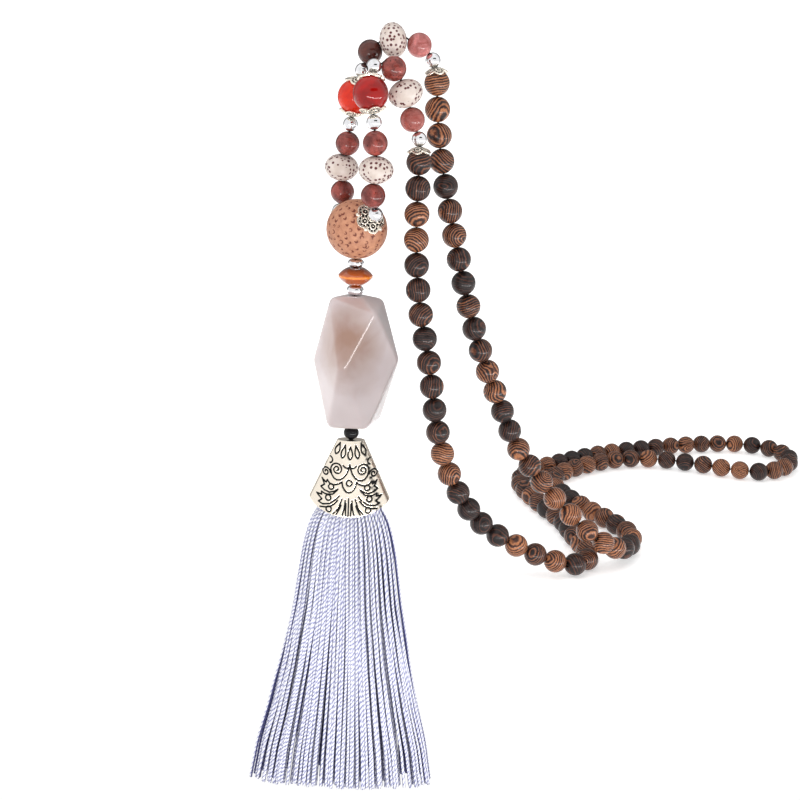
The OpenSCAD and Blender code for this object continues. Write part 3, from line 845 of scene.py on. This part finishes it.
class NecklaceColours(bpy.types.PropertyGroup):
    wood_dark: tint("Wood, dark", "Dark growth lines", (0.13, 0.1, 0.1))
    wood_middle: tint("Wood, middle", "Wood between the lines", (0.37, 0.22, 0.17))
    wood_light: tint("Wood, light", "Light growth lines", (0.72, 0.47, 0.32))
    jasper: tint("Jasper", "Red stone beads", (0.55, 0.25, 0.22))
    jasper_deep: tint("Jasper, deep", "Dark clouds in the red stone", (0.38, 0.14, 0.12))
    jasper_speck: tint("Jasper specks", "Specks and veins", (0.19, 0.08, 0.07))
    jasper_pink: tint("Pink jasper", "The pinker stone", (0.7, 0.42, 0.41))
    carnelian: tint("Carnelian", "Front red bead", (0.66, 0.06, 0.04))
    carnelian_deep: tint("Carnelian, deep", "Cloud in it", (0.45, 0.03, 0.03))
    carnelian_bright: tint("Bright carnelian", "Back red bead", (0.9, 0.2, 0.02))
    seed: tint("Seed", "Cream lotus seed", (0.86, 0.81, 0.78))
    seed_shade: tint("Seed, shade", "Duller patches", (0.8, 0.74, 0.7))
    seed_dot: tint("Seed dots", "Dots on the lotus seed", (0.34, 0.1, 0.12))
    silver: tint("Silver", "Polished silver", (0.96, 0.96, 0.97))
    old_silver: tint("Old silver", "Worn silver of caps", (0.97, 0.93, 0.87))
    tarnish: tint("Tarnish", "Black in the grooves", (0.03, 0.03, 0.03))
    shell: tint("Shell", "Guru bead", (0.79, 0.56, 0.43))
    shell_shade: tint("Shell, shade", "Darker patches", (0.65, 0.42, 0.31))
    shell_pit: tint("Shell pits", "Pits in the guru bead", (0.42, 0.18, 0.11))
    jasper_pale: tint("Pale jasper", "The palest red stone", (0.62, 0.33, 0.3))
    jasper_brown: tint("Brown jasper", "The brownest stone", (0.3, 0.14, 0.11))
    amber: tint("Amber", "Upper side of the disc", (0.72, 0.33, 0.1))
    amber_top: tint("Amber, top", "Top of the disc", (0.42, 0.2, 0.1))
    amber_low: tint("Amber, low", "Under side of the disc", (0.66, 0.3, 0.08))
    # Painted highlight along the disc's rim
    amber_rim_highlight: tint("Amber, rim", "Bright rim of the disc", (0.96, 0.56, 0.16))
    agate_milk: tint("Agate", "Pale agate", (0.88, 0.83, 0.83))
    agate_grey: tint("Agate, grey", "Greyer agate", (0.81, 0.75, 0.75))
    # Painted reflection: the brown over the agate's upper front
    agate_painted_reflection: tint("Agate cloud", "Brown cloud", (0.66, 0.51, 0.44))
    black_stone: tint("Black stone", "Small black bead", (0.035, 0.035, 0.045))
    string: tint("String", "Thread through the beads", (0.11, 0.08, 0.07))
    tassel: tint("Tassel", "Lilac thread", (0.7, 0.71, 0.84))
    # Painted highlight on the crowns of the twist, and painted shade between the plies,
    # between threads and deep inside
    tassel_crown_highlight: tint("Tassel, light", "Crowns of the twist", (0.97, 0.97, 1.0))
    tassel_ply_shade: tint("Tassel, deep", "Between the plies", (0.4, 0.41, 0.62))
    tassel_inner_shade: tint("Tassel, core", "Deep inside", (0.2, 0.21, 0.43))
    floor: tint("Floor", "Pale floor", (0.97, 0.97, 0.97))


def sizes():
    return bpy.context.scene.necklace_sizes


def colours():
    return bpy.context.scene.necklace_colours


# Pieces

class NECKLACE_OT_wood(bpy.types.Operator):
    """String the wood beads, each with its own grain and shade"""

    bl_idname = "necklace.wood"
    bl_label = "Wood beads"

    def execute(self, context):
        finish = wood_finish(colours())
        chance = random.Random(4)
        bead = drilled_ball("wood_bead", sizes().wood_bead, sizes().wood_bead, 32, 18)
        for side in ("left", "right"):
            places = [(c, w) for name, c, w in strung_places() if name == "wood_" + side]
            piece = string_copies(bead, f"wood_strand_{side}", places, chance, True)
            dress(piece, finish, "wood", "wood_beads_" + side)
        bpy.data.objects.remove(bead)
        return {"FINISHED"}


class NECKLACE_OT_stones(bpy.types.Operator):
    """Polish the jasper, carnelian and black beads"""

    bl_idname = "necklace.stones"
    bl_label = "Stone beads"

    def execute(self, context):
        c = colours()
        for node, name, base, deep, specks in (
                ("jasper_bead", "red_jasper", c.jasper, c.jasper_deep, c.jasper_speck),
                ("back_jasper_bead_4", "pink_jasper", c.jasper_pink, c.jasper, c.jasper),
                ("back_jasper_bead_3", "brown_jasper", c.jasper_brown, c.jasper_speck,
                 c.jasper_deep),
                ("front_jasper_bead_4", "pale_jasper", c.jasper_pale, c.jasper,
                 c.jasper_deep)):
            repaint(node, jasper_finish(name, base, deep, specks))
        repaint("front_carnelian_bead",
                carnelian_finish("red_carnelian", c.carnelian, c.carnelian_deep))
        between = [(a + b) / 2 for a, b in zip(c.carnelian_bright, c.carnelian)]
        repaint("back_carnelian_bead",
                carnelian_finish("bright_carnelian", c.carnelian_bright, between))
        repaint("black_bead", black_finish(c))
        return {"FINISHED"}


class NECKLACE_OT_seeds(bpy.types.Operator):
    """Model the dotted lotus seeds"""

    bl_idname = "necklace.seeds"
    bl_label = "Lotus seeds"

    def execute(self, context):
        finish = lotus_finish(colours())
        chance = random.Random(11)
        size = box_size("back_lotus_seed_2")
        seed = drilled_ball("lotus_seed", max(size), min(size), 64, 36)
        for name, centre, way in strung_places():
            if "lotus_seed" in name:
                piece = string_copies(seed, name + "_dotted", [(centre, way)], chance, False)
                out = unit(vertex_places(piece.data) / MM - np.array(centre) / MM)
                # The front of each seed is bare between its ends, apart from the top one's
                bare = 0 if name == "back_lotus_seed_2" else 0.9
                keep(piece.data, "bare", bare * step(-out[:, 1], 0.75, 0.97)
                     * fall(np.abs(out @ np.array(way)), 0.25, 0.6))
                dress(piece, finish, "lotus_seed", name)
        bpy.data.objects.remove(seed)
        return {"FINISHED"}


class NECKLACE_OT_silver(bpy.types.Operator):
    """Polish the silver balls and rondelles"""

    bl_idname = "necklace.silver"
    bl_label = "Silver balls"

    def execute(self, context):
        finish = silver_finish("polished_silver", colours().silver, 0.05)
        repaint("silver_bead", finish)
        repaint("rondelle", finish)
        return {"FINISHED"}


class NECKLACE_OT_strings(bpy.types.Operator):
    """Darken the threads that run through the beads"""

    bl_idname = "necklace.strings"
    bl_label = "Threads"

    def execute(self, context):
        repaint("_thread", string_finish(colours()))
        return {"FINISHED"}


class NECKLACE_OT_disc(bpy.types.Operator):
    """Give the amber disc its silky finish"""

    bl_idname = "necklace.disc"
    bl_label = "Amber disc"

    def execute(self, context):
        repaint("amber_disc", amber_finish(colours()))
        return {"FINISHED"}


class NECKLACE_OT_agate(bpy.types.Operator):
    """Soften the edges of the faceted agate, as tumbling does"""

    bl_idname = "necklace.agate"
    bl_label = "Agate"

    def execute(self, context):
        piece = copied(frame["nodes"]["agate"], "tumbled_agate")
        piece.parent = None
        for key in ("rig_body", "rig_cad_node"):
            del piece[key]
        with editing(piece):
            bpy.ops.mesh.remove_doubles(threshold=0.001 * MM)
        modify(piece, "REMESH", mode="VOXEL", voxel_size=AGATE_VOXEL * MM)
        modify(piece, "SMOOTH", iterations=AGATE_ROUNDS, factor=0.6)
        bpy.ops.object.shade_smooth()
        dress(piece, agate_finish(colours()), "agate", "agate")
        return {"FINISHED"}


class NECKLACE_OT_flower_caps(bpy.types.Operator):
    """Chase the flower caps over the guru, carnelian and wood beads"""

    bl_idname = "necklace.flower_caps"
    bl_label = "Flower caps"

    def execute(self, context):
        finish = patina_finish("chased_silver", colours().old_silver, colours().tarnish)
        for name, width in (("flower_cap_guru", sizes().guru_cap),
                            ("flower_cap_lower", sizes().carnelian_cap),
                            ("flower_cap_upper", sizes().carnelian_cap),
                            ("flower_cap_wood", sizes().wood_cap)):
            radius = capped_ball("front_", name)[1] / MM
            model = self.flower_cap(name + "_model", radius + BEAD_GAP, width / MM)
            if name == "flower_cap_guru":
                self.add_pearls(model, radius + BEAD_GAP + CAP_THICKNESS, width / MM)
            for side in SIDES:
                piece = copied(model, side + name + "_chased")
                ball, _, way = capped_ball(side, name)
                piece.data.transform(along_hole(ball, way))
                dress(piece, finish, "flower_cap", side + name)
            bpy.data.objects.remove(model)
        return {"FINISHED"}

    def flower_cap(self, name, inner, width):
        """A petalled cap over the top of a ball at the origin, with chased petals."""
        columns, outer_rows, edge_rows, inner_rows = 200, 34, 2, 6
        hole = sizes().bore / MM / 2
        outer = inner + CAP_THICKNESS
        petal = width * PETAL_SHARE
        petal_at = width / 2 - petal
        turn = full_turn(columns)
        swing = (turn + math.pi / PETALS) % (math.tau / PETALS) - math.pi / PETALS
        outline = petal_at * np.cos(swing) + np.sqrt(
            np.maximum(petal ** 2 - (petal_at * np.sin(swing)) ** 2, 0))
        # From the hole over the outside to the petals' edge, and back inside
        reach = np.concatenate([np.linspace(0, 1, outer_rows), np.ones(edge_rows),
                                np.linspace(1, 0, inner_rows)])[None, :]
        height = np.concatenate([np.ones(outer_rows), np.linspace(0.75, 0.25, edge_rows),
                                 np.zeros(inner_rows)])[None, :]
        outside = height == 1
        across = hole + (outline - hole) * reach
        from_petal = across * np.cos(swing) - petal_at
        depth = 1 - np.hypot(from_petal, across * np.sin(swing)) / petal
        spoke = np.arctan2(across * np.sin(swing), from_petal)
        # Each petal: a rim, short bars inside it, an arch and a drop at its middle
        bars = step(np.cos(spoke * 9), 0.3, 0.6) * step(depth, 0.25, 0.28) \
            * fall(depth, 0.38, 0.42)
        arch = step(depth, 0.44, 0.49) * fall(depth, 0.66, 0.71)
        raised = np.maximum.reduce([
            fall(depth, 0.2, 0.26), bars * 0.8, arch, step(depth, 0.86, 0.93)])
        raised = raised * step(across, petal_at * 0.55, petal_at * 0.75)
        # Two rings round the hole
        collar = step(across, hole + 0.1, hole + 0.35) \
            * fall(across, petal_at * 0.5, petal_at * 0.62)
        raised = np.maximum.reduce([raised, collar, fall(across, hole, hole + 0.2)])
        radius = inner + CAP_THICKNESS * height + (raised - 0.55) * CHASING * outside \
            + 0.06 * step(reach, 0.7, 1.0)
        tilt = np.arcsin(across / outer)
        cap, order = ring_shape(name, np.stack([
            radius * np.sin(tilt) * np.cos(turn), radius * np.sin(tilt) * np.sin(turn),
            radius * np.cos(tilt)], -1))
        keep(cap.data, "groove", ((1 - raised) * outside).ravel()[order])
        face_outwards(cap)
        return cap

    def add_pearls(self, cap, outer, width):
        """Set a small pearl between each two petals."""
        lean = math.asin(width * 0.44 / outer)
        pearls = []
        for k in range(PETALS):
            turn = (k + 0.5) * math.tau / PETALS
            place = Vector((math.sin(lean) * math.cos(turn),
                            math.sin(lean) * math.sin(turn), math.cos(lean)))
            pearls.append(sphere("pearl", 24, 14, 0.68 * MM, place * outer * MM))
            bpy.ops.object.shade_smooth()
        joined(cap, pearls)


class NECKLACE_OT_guru(bpy.types.Operator):
    """Model the large pitted bead that gathers the strands"""

    bl_idname = "necklace.guru"
    bl_label = "Guru bead"

    def execute(self, context):
        centre, width = box_centre("guru_bead"), box_size("guru_bead").x
        bead = sphere("pitted_guru_bead", 360, 180, 1)
        ways = unit(vertex_places(bead.data))
        half = np.array([width, width, width * GURU_FLATNESS]) / MM / 2
        pit = self.pits(ways, half[0])
        dent = pit * PIT_DEPTH
        holes = [capped_ball(side, "flower_cap_guru")[2] for side in SIDES]
        for way in (*holes, (0, 0, -1)):
            across = np.arccos(np.clip(ways @ np.array(way), -1, 1)) * half[0]
            dent += HOLE_DEPTH * fall(across, 0.62, 0.86)
        move_vertices(bead.data, (ways * (half - dent[:, None]) * MM) + np.array(centre))
        keep(bead.data, "pit", pit)
        face_outwards(bead)
        dress(bead, guru_finish(colours()), "guru", "guru_bead")
        return {"FINISHED"}

    def pits(self, ways, radius):
        """Small crescents pressed into the shell in uneven rows, each 1 at its deepest."""
        chance = np.random.default_rng(7)
        count, wide = sizes().pits, sizes().pit / MM / 2
        pit = np.zeros(len(ways))
        for k in range(count):
            height = 1 - 2 * (k + 0.5) / count
            turn = k * GOLDEN_TURN + chance.uniform(-0.1, 0.1)
            middle = np.array([math.sqrt(1 - height ** 2) * math.cos(turn),
                               math.sqrt(1 - height ** 2) * math.sin(turn), height])
            middle = unit(middle + chance.normal(0, 0.035, 3))
            near = np.flatnonzero(ways @ middle > math.cos(2.5 * wide / radius))
            side = unit(np.cross(middle, [0, 0, 1]))
            x = ways[near] @ side * radius
            y = ways[near] @ np.cross(side, middle) * radius
            spin = chance.uniform(0, math.tau) if chance.random() < 0.35 \
                else chance.normal(0.6, 0.5)
            u = x * math.cos(spin) + y * math.sin(spin)
            v = y * math.cos(spin) - x * math.sin(spin)
            size = wide * chance.uniform(0.65, 1.2)
            arc = np.abs(np.hypot(u, v * 1.15) - size * 0.8)
            mark = fall(arc, 0.08, 0.2) * step(np.abs(np.arctan2(v, u)), 0.7, 1.3)
            heart = fall(np.hypot(u + size * 0.5, v), size * 0.3, size * 0.75) \
                * (0.9 if chance.random() < 0.55 else 0.25)
            pit[near] = np.maximum.reduce([pit[near], mark * chance.uniform(0.6, 1.0), heart])
        return pit


def cone_shape():
    """The cone cap's box, its half widths at the top and the rim, slope and flatness."""
    low, high = (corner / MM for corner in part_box("cone_cap"))
    top_w, rim_w = sizes().cone_top / MM / 2, (high.x - low.x) / 2
    slope = (rim_w - top_w) / (high.z - low.z - sizes().cone_sag / MM)
    flat = (high.y - low.y) / 2 / (top_w + slope * (high.z - low.z))
    return low, high, top_w, rim_w, slope, flat


class NECKLACE_OT_cone_cap(bpy.types.Operator):
    """Model the cone cap with its engraved scrollwork"""

    bl_idname = "necklace.cone_cap"
    bl_label = "Cone cap"

    def execute(self, context):
        low, high, top_w, rim_w, slope, flat = cone_shape()
        sag, wall = sizes().cone_sag / MM, sizes().cone_wall / MM
        hole = sizes().bore / MM / 2
        full = high.z - low.z
        columns, top_rows, side_rows, inner_rows = 520, 5, 165, 6
        turn = full_turn(columns)
        # How far down the sagging rim is, all round: an arc that the cone's side meets
        arc = (rim_w ** 2 + sag ** 2) / (2 * sag)
        drop = np.full_like(turn, full)
        for _ in range(12):
            out = (top_w + slope * drop) * np.cos(turn)
            drop = full - arc + np.sqrt(np.maximum(arc ** 2 - out ** 2, 0))
        # From the hole over the top, down the side, and up inside
        top_radius = np.tile(np.linspace(hole, top_w, top_rows, endpoint=False), (columns, 1))
        side_down = drop * np.linspace(0, 1, side_rows)
        inner_down = np.maximum(drop * np.linspace(1, 0, inner_rows), wall)
        inner_radius = np.maximum(top_w + slope * inner_down - wall / flat, hole)
        inner_radius[:, -1] = hole
        down = np.concatenate([0 * top_radius, side_down, inner_down], 1)
        radius = np.concatenate([top_radius, top_w + slope * side_down, inner_radius], 1)
        row = np.arange(down.shape[1])
        on_side = (row >= top_rows) & (row < top_rows + side_rows)
        inside = row >= top_rows + side_rows
        across, near = radius * np.cos(turn), radius * np.sin(turn)
        away = self.line_distance(np.abs(across), down)
        # Each line is cut in with a slight lip beside it, and the rim's edge is worn round
        lip = np.exp(-((away - LIP_AT) / LIP_WIDTH) ** 2)
        worn = step((row - top_rows) / (side_rows - 1), 0.975, 1.0)
        radius = radius - on_side * (sizes().relief / MM * fall(away, *LINE_CUT)
                                     - LIP_HEIGHT * lip + RIM_WEAR * worn)
        # Tarnish lies in the lines and inside, and the front right is darker in a mottled
        # streak
        streak = np.exp(-((across - 3.6 - 0.3 * down) / (0.8 + 0.06 * down)) ** 2)
        mottle = 0.5 + 0.16 * np.sin(3.1 * down) * np.sin(2.3 * across + 0.7 * down)
        groove = np.maximum(fall(away, *LINE_BLACK), mottle * streak * (near > 0)) \
            * on_side + 0.7 * inside
        cap, order = ring_shape("engraved_cone_cap", np.stack([
            (low.x + high.x) / 2 + radius * np.cos(turn),
            (low.y + high.y) / 2 - flat * radius * np.sin(turn), high.z - down], -1))
        keep(cap.data, "groove", groove.ravel()[order])
        face_outwards(cap)
        smooth(cap, 50)
        finish = patina_finish("engraved_silver", colours().old_silver, colours().tarnish)
        dress(cap, finish, "cone_cap", "cone_cap")
        return {"FINISHED"}

    def line_distance(self, out, down):
        """How far each point is from the nearest line of the scrollwork."""
        lines = [np.array(line) for line in SCROLL_LINES]
        for x, y, wide, narrow, start, swing in SCROLL_SPIRALS:
            share = np.linspace(0, 1, max(int(abs(swing) / 12), 12))
            angle = np.radians(start + swing * share)
            radius = wide + (narrow - wide) * share
            lines.append(np.stack([x + radius * np.cos(angle),
                                   y - radius * np.sin(angle)], -1))
        share = np.linspace(0, 1, 15)[:, None]
        swell = 0.7 * np.sin(math.pi * share ** 1.5) ** 0.8
        for tip, foot in SCROLL_PETALS:
            tip, along = np.array(tip), np.subtract(foot, tip)
            sideways = unit(np.array([along[1], -along[0]]))
            lines += [tip + along * share + side * sideways * swell for side in (-1, 1)]
        away = np.full(out.shape, 9.0)
        for line in lines:
            for a, b in zip(line, line[1:]):
                run = b - a
                share = np.clip(((out - a[0]) * run[0] + (down - a[1]) * run[1])
                                / max(run @ run, 1e-9), 0, 1)
                away = np.minimum(away, np.hypot(out - a[0] - share * run[0],
                                                 down - a[1] - share * run[1]))
        return away


class NECKLACE_OT_tassel(bpy.types.Operator):
    """Hang the tassel's twisted threads under the cone cap"""

    bl_idname = "necklace.tassel"
    bl_label = "Tassel"

    def execute(self, context):
        low, high = (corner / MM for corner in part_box("tassel"))
        outline = self.outline(low, high)
        finish = tassel_finish(colours())
        chance = np.random.default_rng(21)
        # Angles at even steps along the oval of the tassel's end
        end_w, end_d = (high.x - low.x) / 2, (high.y - low.y) / 2
        turns = np.linspace(0, math.tau, 721)
        along = np.cumsum(np.hypot(end_w * np.diff(np.cos(turns), prepend=1),
                                   end_d * np.diff(np.sin(turns), prepend=0)))
        spread = (along / along[-1], turns)
        for name, layers in TASSEL_LAYERS.items():
            strands = [strand for share, out, deep in layers
                       for strand in self.ring(share, out, deep, spread, chance)]
            middle = (low + high) / 2
            piece = self.threads(name, strands, outline, middle, chance)
            dress(piece, finish, "tassel_thread", "tassel")
        return {"FINISHED"}

    def outline(self, low, high):
        """Heights down the tassel, with its half width and half depth at each."""
        cap_low, cap_high, cap_top_w, cap_rim_w, slope, flat = cone_shape()
        wall = sizes().cone_wall / MM
        inset = wall / flat + slope * (wall + 0.4) + 0.3
        neck = cap_rim_w - inset
        top_w = cap_top_w + slope * (cap_high.z - high.z) - inset
        end_w, end_d = (high.x - low.x) / 2, (high.y - low.y) / 2
        levels = [(high.z, top_w, top_w * flat),
                  (cap_low.z + sizes().cone_sag / MM, neck, neck * flat)]
        levels += [(cap_low.z + (low.z - cap_low.z) * down,
                    neck + (end_w - neck) * wide, neck * flat + (end_d - neck * flat) * deep)
                   for down, wide, deep in TASSEL_FLARE]
        levels = np.array(levels)
        fine = np.linspace(high.z, low.z, 240)
        blur = np.hanning(15) / np.hanning(15).sum()
        halves = []
        for values in (levels[:, 1], levels[:, 2]):
            half = np.interp(-fine, -levels[:, 0], values)
            half[7:-7] = np.convolve(half, blur, "valid")
            halves.append(half - sizes().tassel_thread / MM / 2)
        return fine, *halves

    def ring(self, share, out, deep, spread, chance):
        """Angle, share of the way out, sink at the neck and depth of one layer's threads."""
        count = int(sizes().tassel_threads * share)
        for k in range(count):
            turn = np.interp((k + chance.uniform(-0.3, 0.3)) / count % 1.0, *spread)
            yield turn, out * chance.uniform(0.95, 1.0), 0.06 * (k % 3), deep

    def thread_path(self, turn, out, sink, outline, middle, chance):
        """One thread from the neck to its end, a little loose and swinging."""
        fine, half_w, half_d = outline
        top, end = fine[0], fine[-1]
        z = np.linspace(top, end + 2.6 * max(0, -math.sin(turn)) * out
                        + abs(chance.normal(0, 0.8)), THREAD_STEPS)
        down = (top - z) / (top - end)
        out = out * (1 - sink * fall(down, 0.2, 0.8))
        loose = step(down, 0.12, 0.6)
        group = np.sin(2 * turn + 1.3) * 0.5 + np.sin(5 * turn + 0.4) * 0.35
        swing = loose * (0.55 * group * np.sin(4.2 * down + 3 * turn)
                         + chance.normal(0, 0.32) * np.sin(
                             chance.uniform(2, 7) * down + chance.uniform(0, 6)))
        lean = turn + chance.normal(0, 0.012) * loose
        wide, deep = np.interp(-z, -fine, half_w), np.interp(-z, -fine, half_d)
        x = np.clip(wide * out * np.cos(lean) + swing, -wide, wide)
        y = np.clip(deep * out * np.sin(lean) + swing * 0.4, -deep, deep)
        return np.stack([middle.x + x, middle.y + y, z], -1)

    def threads(self, name, strands, outline, middle, chance):
        """Threads as tubes whose sides carry their twist, depth and shade."""
        radius = sizes().tassel_thread / MM / 2
        half_w, half_d = outline[1][-1], outline[2][-1]
        side = np.arange(THREAD_SIDES)
        angle = side * math.tau / THREAD_SIDES
        circle = np.stack([np.cos(angle), np.sin(angle), 0 * angle], -1)
        size = THREAD_STEPS * THREAD_SIDES
        places, faces = [], []
        kept = {"round": [], "along": [], "depth": [], "tone": [], "crest": []}
        for number, (turn, out, sink, deep) in enumerate(strands):
            path = self.thread_path(turn, out, sink, outline, middle, chance)
            run = unit(np.gradient(path, axis=0))
            one = unit(np.cross(run, [0.0, 1.0, 0.0]))
            two = np.cross(run, one)
            ways = one[:, None] * circle[:, :1] + two[:, None] * circle[:, 1:2]
            places.append((path[:, None] + radius * ways).reshape(-1, 3))
            outwards = unit(np.array([math.cos(turn) / half_w, math.sin(turn) / half_d, 0]))
            steps = np.linalg.norm(np.diff(path, axis=0, prepend=path[:1]), axis=1)
            length = np.cumsum(steps) * chance.uniform(0.75, 1.3) + chance.uniform(0, 9)
            # Crest and depth set where the finish paints shade between threads and in the
            # inner layers
            kept["crest"].append((ways @ outwards).ravel())
            kept["round"].append(np.tile(circle, (THREAD_STEPS, 1)))
            kept["along"].append(np.repeat(length, THREAD_SIDES))
            kept["depth"].append(np.full(size, deep))
            kept["tone"].append(np.full(size, chance.random()))
            start = number * size
            for first in range(start, start + size - THREAD_SIDES, THREAD_SIDES):
                a, b = first + side, first + (side + 1) % THREAD_SIDES
                faces += np.stack([a, b, b + THREAD_SIDES, a + THREAD_SIDES], -1).tolist()
            faces += [(start + side[::-1]).tolist(),
                      (start + size - THREAD_SIDES + side).tolist()]
        mesh = bpy.data.meshes.new(name)
        mesh.from_pydata((np.concatenate(places) * MM).tolist(), [], faces)
        for key, values in kept.items():
            keep(mesh, key, np.concatenate(values))
        piece = bpy.data.objects.new(name, mesh)
        bpy.context.scene.collection.objects.link(piece)
        face_outwards(piece)
        return piece


class NECKLACE_OT_stage(bpy.types.Operator):
    """Set up the pale floor, the soft lights and the camera"""

    bl_idname = "necklace.stage"
    bl_label = "Stage"

    def execute(self, context):
        self.floor()
        self.lights()
        self.cards()
        self.camera()
        return {"FINISHED"}

    def floor(self):
        """A level under the lying loops, a drop in front of them, and a sweep up behind."""
        level, low, back, high = LOOP_FLOOR * MM, TASSEL_FLOOR * MM, 1.6, 2.2
        deselect()
        bpy.ops.mesh.primitive_plane_add(size=2 * back, location=(0, 0, level))
        floor = just_added("pale_floor")
        with editing(floor):
            for y in (0.0145, 0.0135):
                bpy.ops.mesh.select_all(action="SELECT")
                bpy.ops.mesh.bisect(plane_co=(0, y, level), plane_no=(0, 1, 0))
            pick(floor, lambda v: v.co.y < 0.014)
            bpy.ops.transform.translate(value=(0, 0, low - level))
            pick(floor, lambda v: v.co.y > back * 0.9)
            bpy.ops.mesh.extrude_region_move(
                TRANSFORM_OT_translate={"value": (0, 0, high)})
            pick(floor, lambda v: v.co.y > back * 0.9 and v.co.z < 0.1)
            bpy.ops.mesh.bevel(offset=0.3, segments=16, affect="EDGES")
        floor.data.transform(floor.matrix_world)
        floor.matrix_world = Matrix.Identity(4)
        smooth(floor, 30)
        f = Finish("pale_floor")
        below = f.math("LESS_THAN", f.axis(f.place(), 2), LOOP_FLOOR - 0.3)
        pale = f.ramp(f.noise(f.place(), 0.004, 2.0),
                      (0.3, [c * 0.99 for c in colours().floor]), (0.7, colours().floor))
        f.set(Base_Color=f.mix(below, pale, BLACK), Roughness=0.9, Emission_Color=WHITE,
              Emission_Strength=f.ramp(below, (0.0, 0.45), (1.0, 1.0)))
        floor.data.materials.append(f.material)

    def lights(self):
        world = bpy.data.worlds.new("studio")
        world.use_nodes = True
        background = world.node_tree.nodes["Background"].inputs
        background["Color"].default_value = WHITE
        background["Strength"].default_value = WORLD_LIGHT
        bpy.context.scene.world = world
        lists = {"agate": self.receivers("agate_glint", "INCLUDE"),
                 "others": self.receivers("other_glints", "EXCLUDE")}
        for name, azimuth, elevation, reach, width, height, watts, mirrored, lit in LAMPS:
            lamp = bpy.data.lights.new(name, "AREA")
            lamp.shape = "RECTANGLE"
            lamp.size, lamp.size_y, lamp.energy = width, height, watts
            holder = bpy.data.objects.new(name, lamp)
            bpy.context.scene.collection.objects.link(holder)
            self.aim(holder, azimuth, elevation, reach)
            holder.visible_glossy = mirrored
            holder.visible_camera = False
            if lit in lists:
                holder.light_linking.receiver_collection = lists[lit]
            if lit == "agate":
                holder.visible_diffuse = False
                holder.rotation_euler.rotate_axis("Z", math.radians(GLINT_TILT))

    def receivers(self, name, state):
        """A list for a lamp that lights only the agate, or everything else."""
        group = bpy.data.collections.new(name)
        group.objects.link(bpy.data.objects["tumbled_agate"])
        group.collection_objects[0].light_linking.link_state = state
        return group

    def cards(self):
        """Grey cards and a white tent that only show in what mirrors them."""
        for name, azimuth, elevation, reach, width, height, grey in CARDS:
            deselect()
            bpy.ops.mesh.primitive_plane_add(size=1)
            card = just_added(name)
            card.scale = (width, height, 1)
            self.aim(card, azimuth, elevation, reach)
            bpy.ops.object.transform_apply(location=True, rotation=True, scale=True)
            self.mirror_only(card, grey)
        self.mirror_only(sphere("white_tent", 48, 24, TENT_RADIUS), 1.0)

    def mirror_only(self, card, grey):
        card.data.materials.append(shining_finish(card.name, grey))
        card.visible_camera = card.visible_diffuse = card.visible_shadow = False

    def aim(self, item, azimuth, elevation, reach):
        """Put a lamp or card round the lit place and turn it to face that."""
        a, e = math.radians(azimuth), math.radians(elevation)
        away = Vector((math.sin(a) * math.cos(e), -math.cos(a) * math.cos(e), math.sin(e)))
        item.location = LIT_PLACE + reach * away
        item.rotation_euler = (-away).to_track_quat("-Z", "Y").to_euler()

    def camera(self):
        lens = bpy.data.cameras.new("camera")
        lens.lens = LENS
        lens.sensor_width = FILM
        lens.clip_start = 0.01
        camera = bpy.data.objects.new("camera", lens)
        camera.matrix_world = (Matrix.Translation(Vector(CAMERA_PLACE) * MM)
                               @ Matrix.Rotation(math.radians(CAMERA_TILT), 4, "X")
                               @ Matrix.Rotation(math.radians(CAMERA_TURN), 4, "Z"))
        bpy.context.scene.collection.objects.link(camera)
        bpy.context.scene.camera = camera
        view = bpy.context.scene.view_settings
        view.view_transform = "Standard"
        view.look = "None"


class NECKLACE_PT_sidebar(bpy.types.Panel):
    """Lists the pieces of the necklace"""

    bl_idname = "NECKLACE_PT_sidebar"
    bl_label = "Necklace"
    bl_space_type = "VIEW_3D"
    bl_region_type = "UI"
    bl_category = "Necklace"

    def draw(self, context):
        for operator in OPERATORS:
            self.layout.operator(operator.bl_idname)
        for group in (context.scene.necklace_sizes, context.scene.necklace_colours):
            box = self.layout.box()
            for name in group.__annotations__:
                box.prop(group, name)


OPERATORS = (
    NECKLACE_OT_wood, NECKLACE_OT_stones, NECKLACE_OT_seeds, NECKLACE_OT_silver,
    NECKLACE_OT_strings, NECKLACE_OT_disc, NECKLACE_OT_agate, NECKLACE_OT_flower_caps,
    NECKLACE_OT_guru, NECKLACE_OT_cone_cap, NECKLACE_OT_tassel, NECKLACE_OT_stage,
)
CLASSES = (NecklaceSizes, NecklaceColours, *OPERATORS, NECKLACE_PT_sidebar)


def register():
    for kind in CLASSES:
        bpy.utils.register_class(kind)
    bpy.types.Scene.necklace_sizes = bpy.props.PointerProperty(type=NecklaceSizes)
    bpy.types.Scene.necklace_colours = bpy.props.PointerProperty(type=NecklaceColours)


def unregister():
    del bpy.types.Scene.necklace_colours
    del bpy.types.Scene.necklace_sizes
    for kind in reversed(CLASSES):
        bpy.utils.unregister_class(kind)


def main():
    register()
    for operator in OPERATORS:
        group, name = operator.bl_idname.split(".")
        getattr(getattr(bpy.ops, group), name)()


if __name__ == "__main__":
    main()
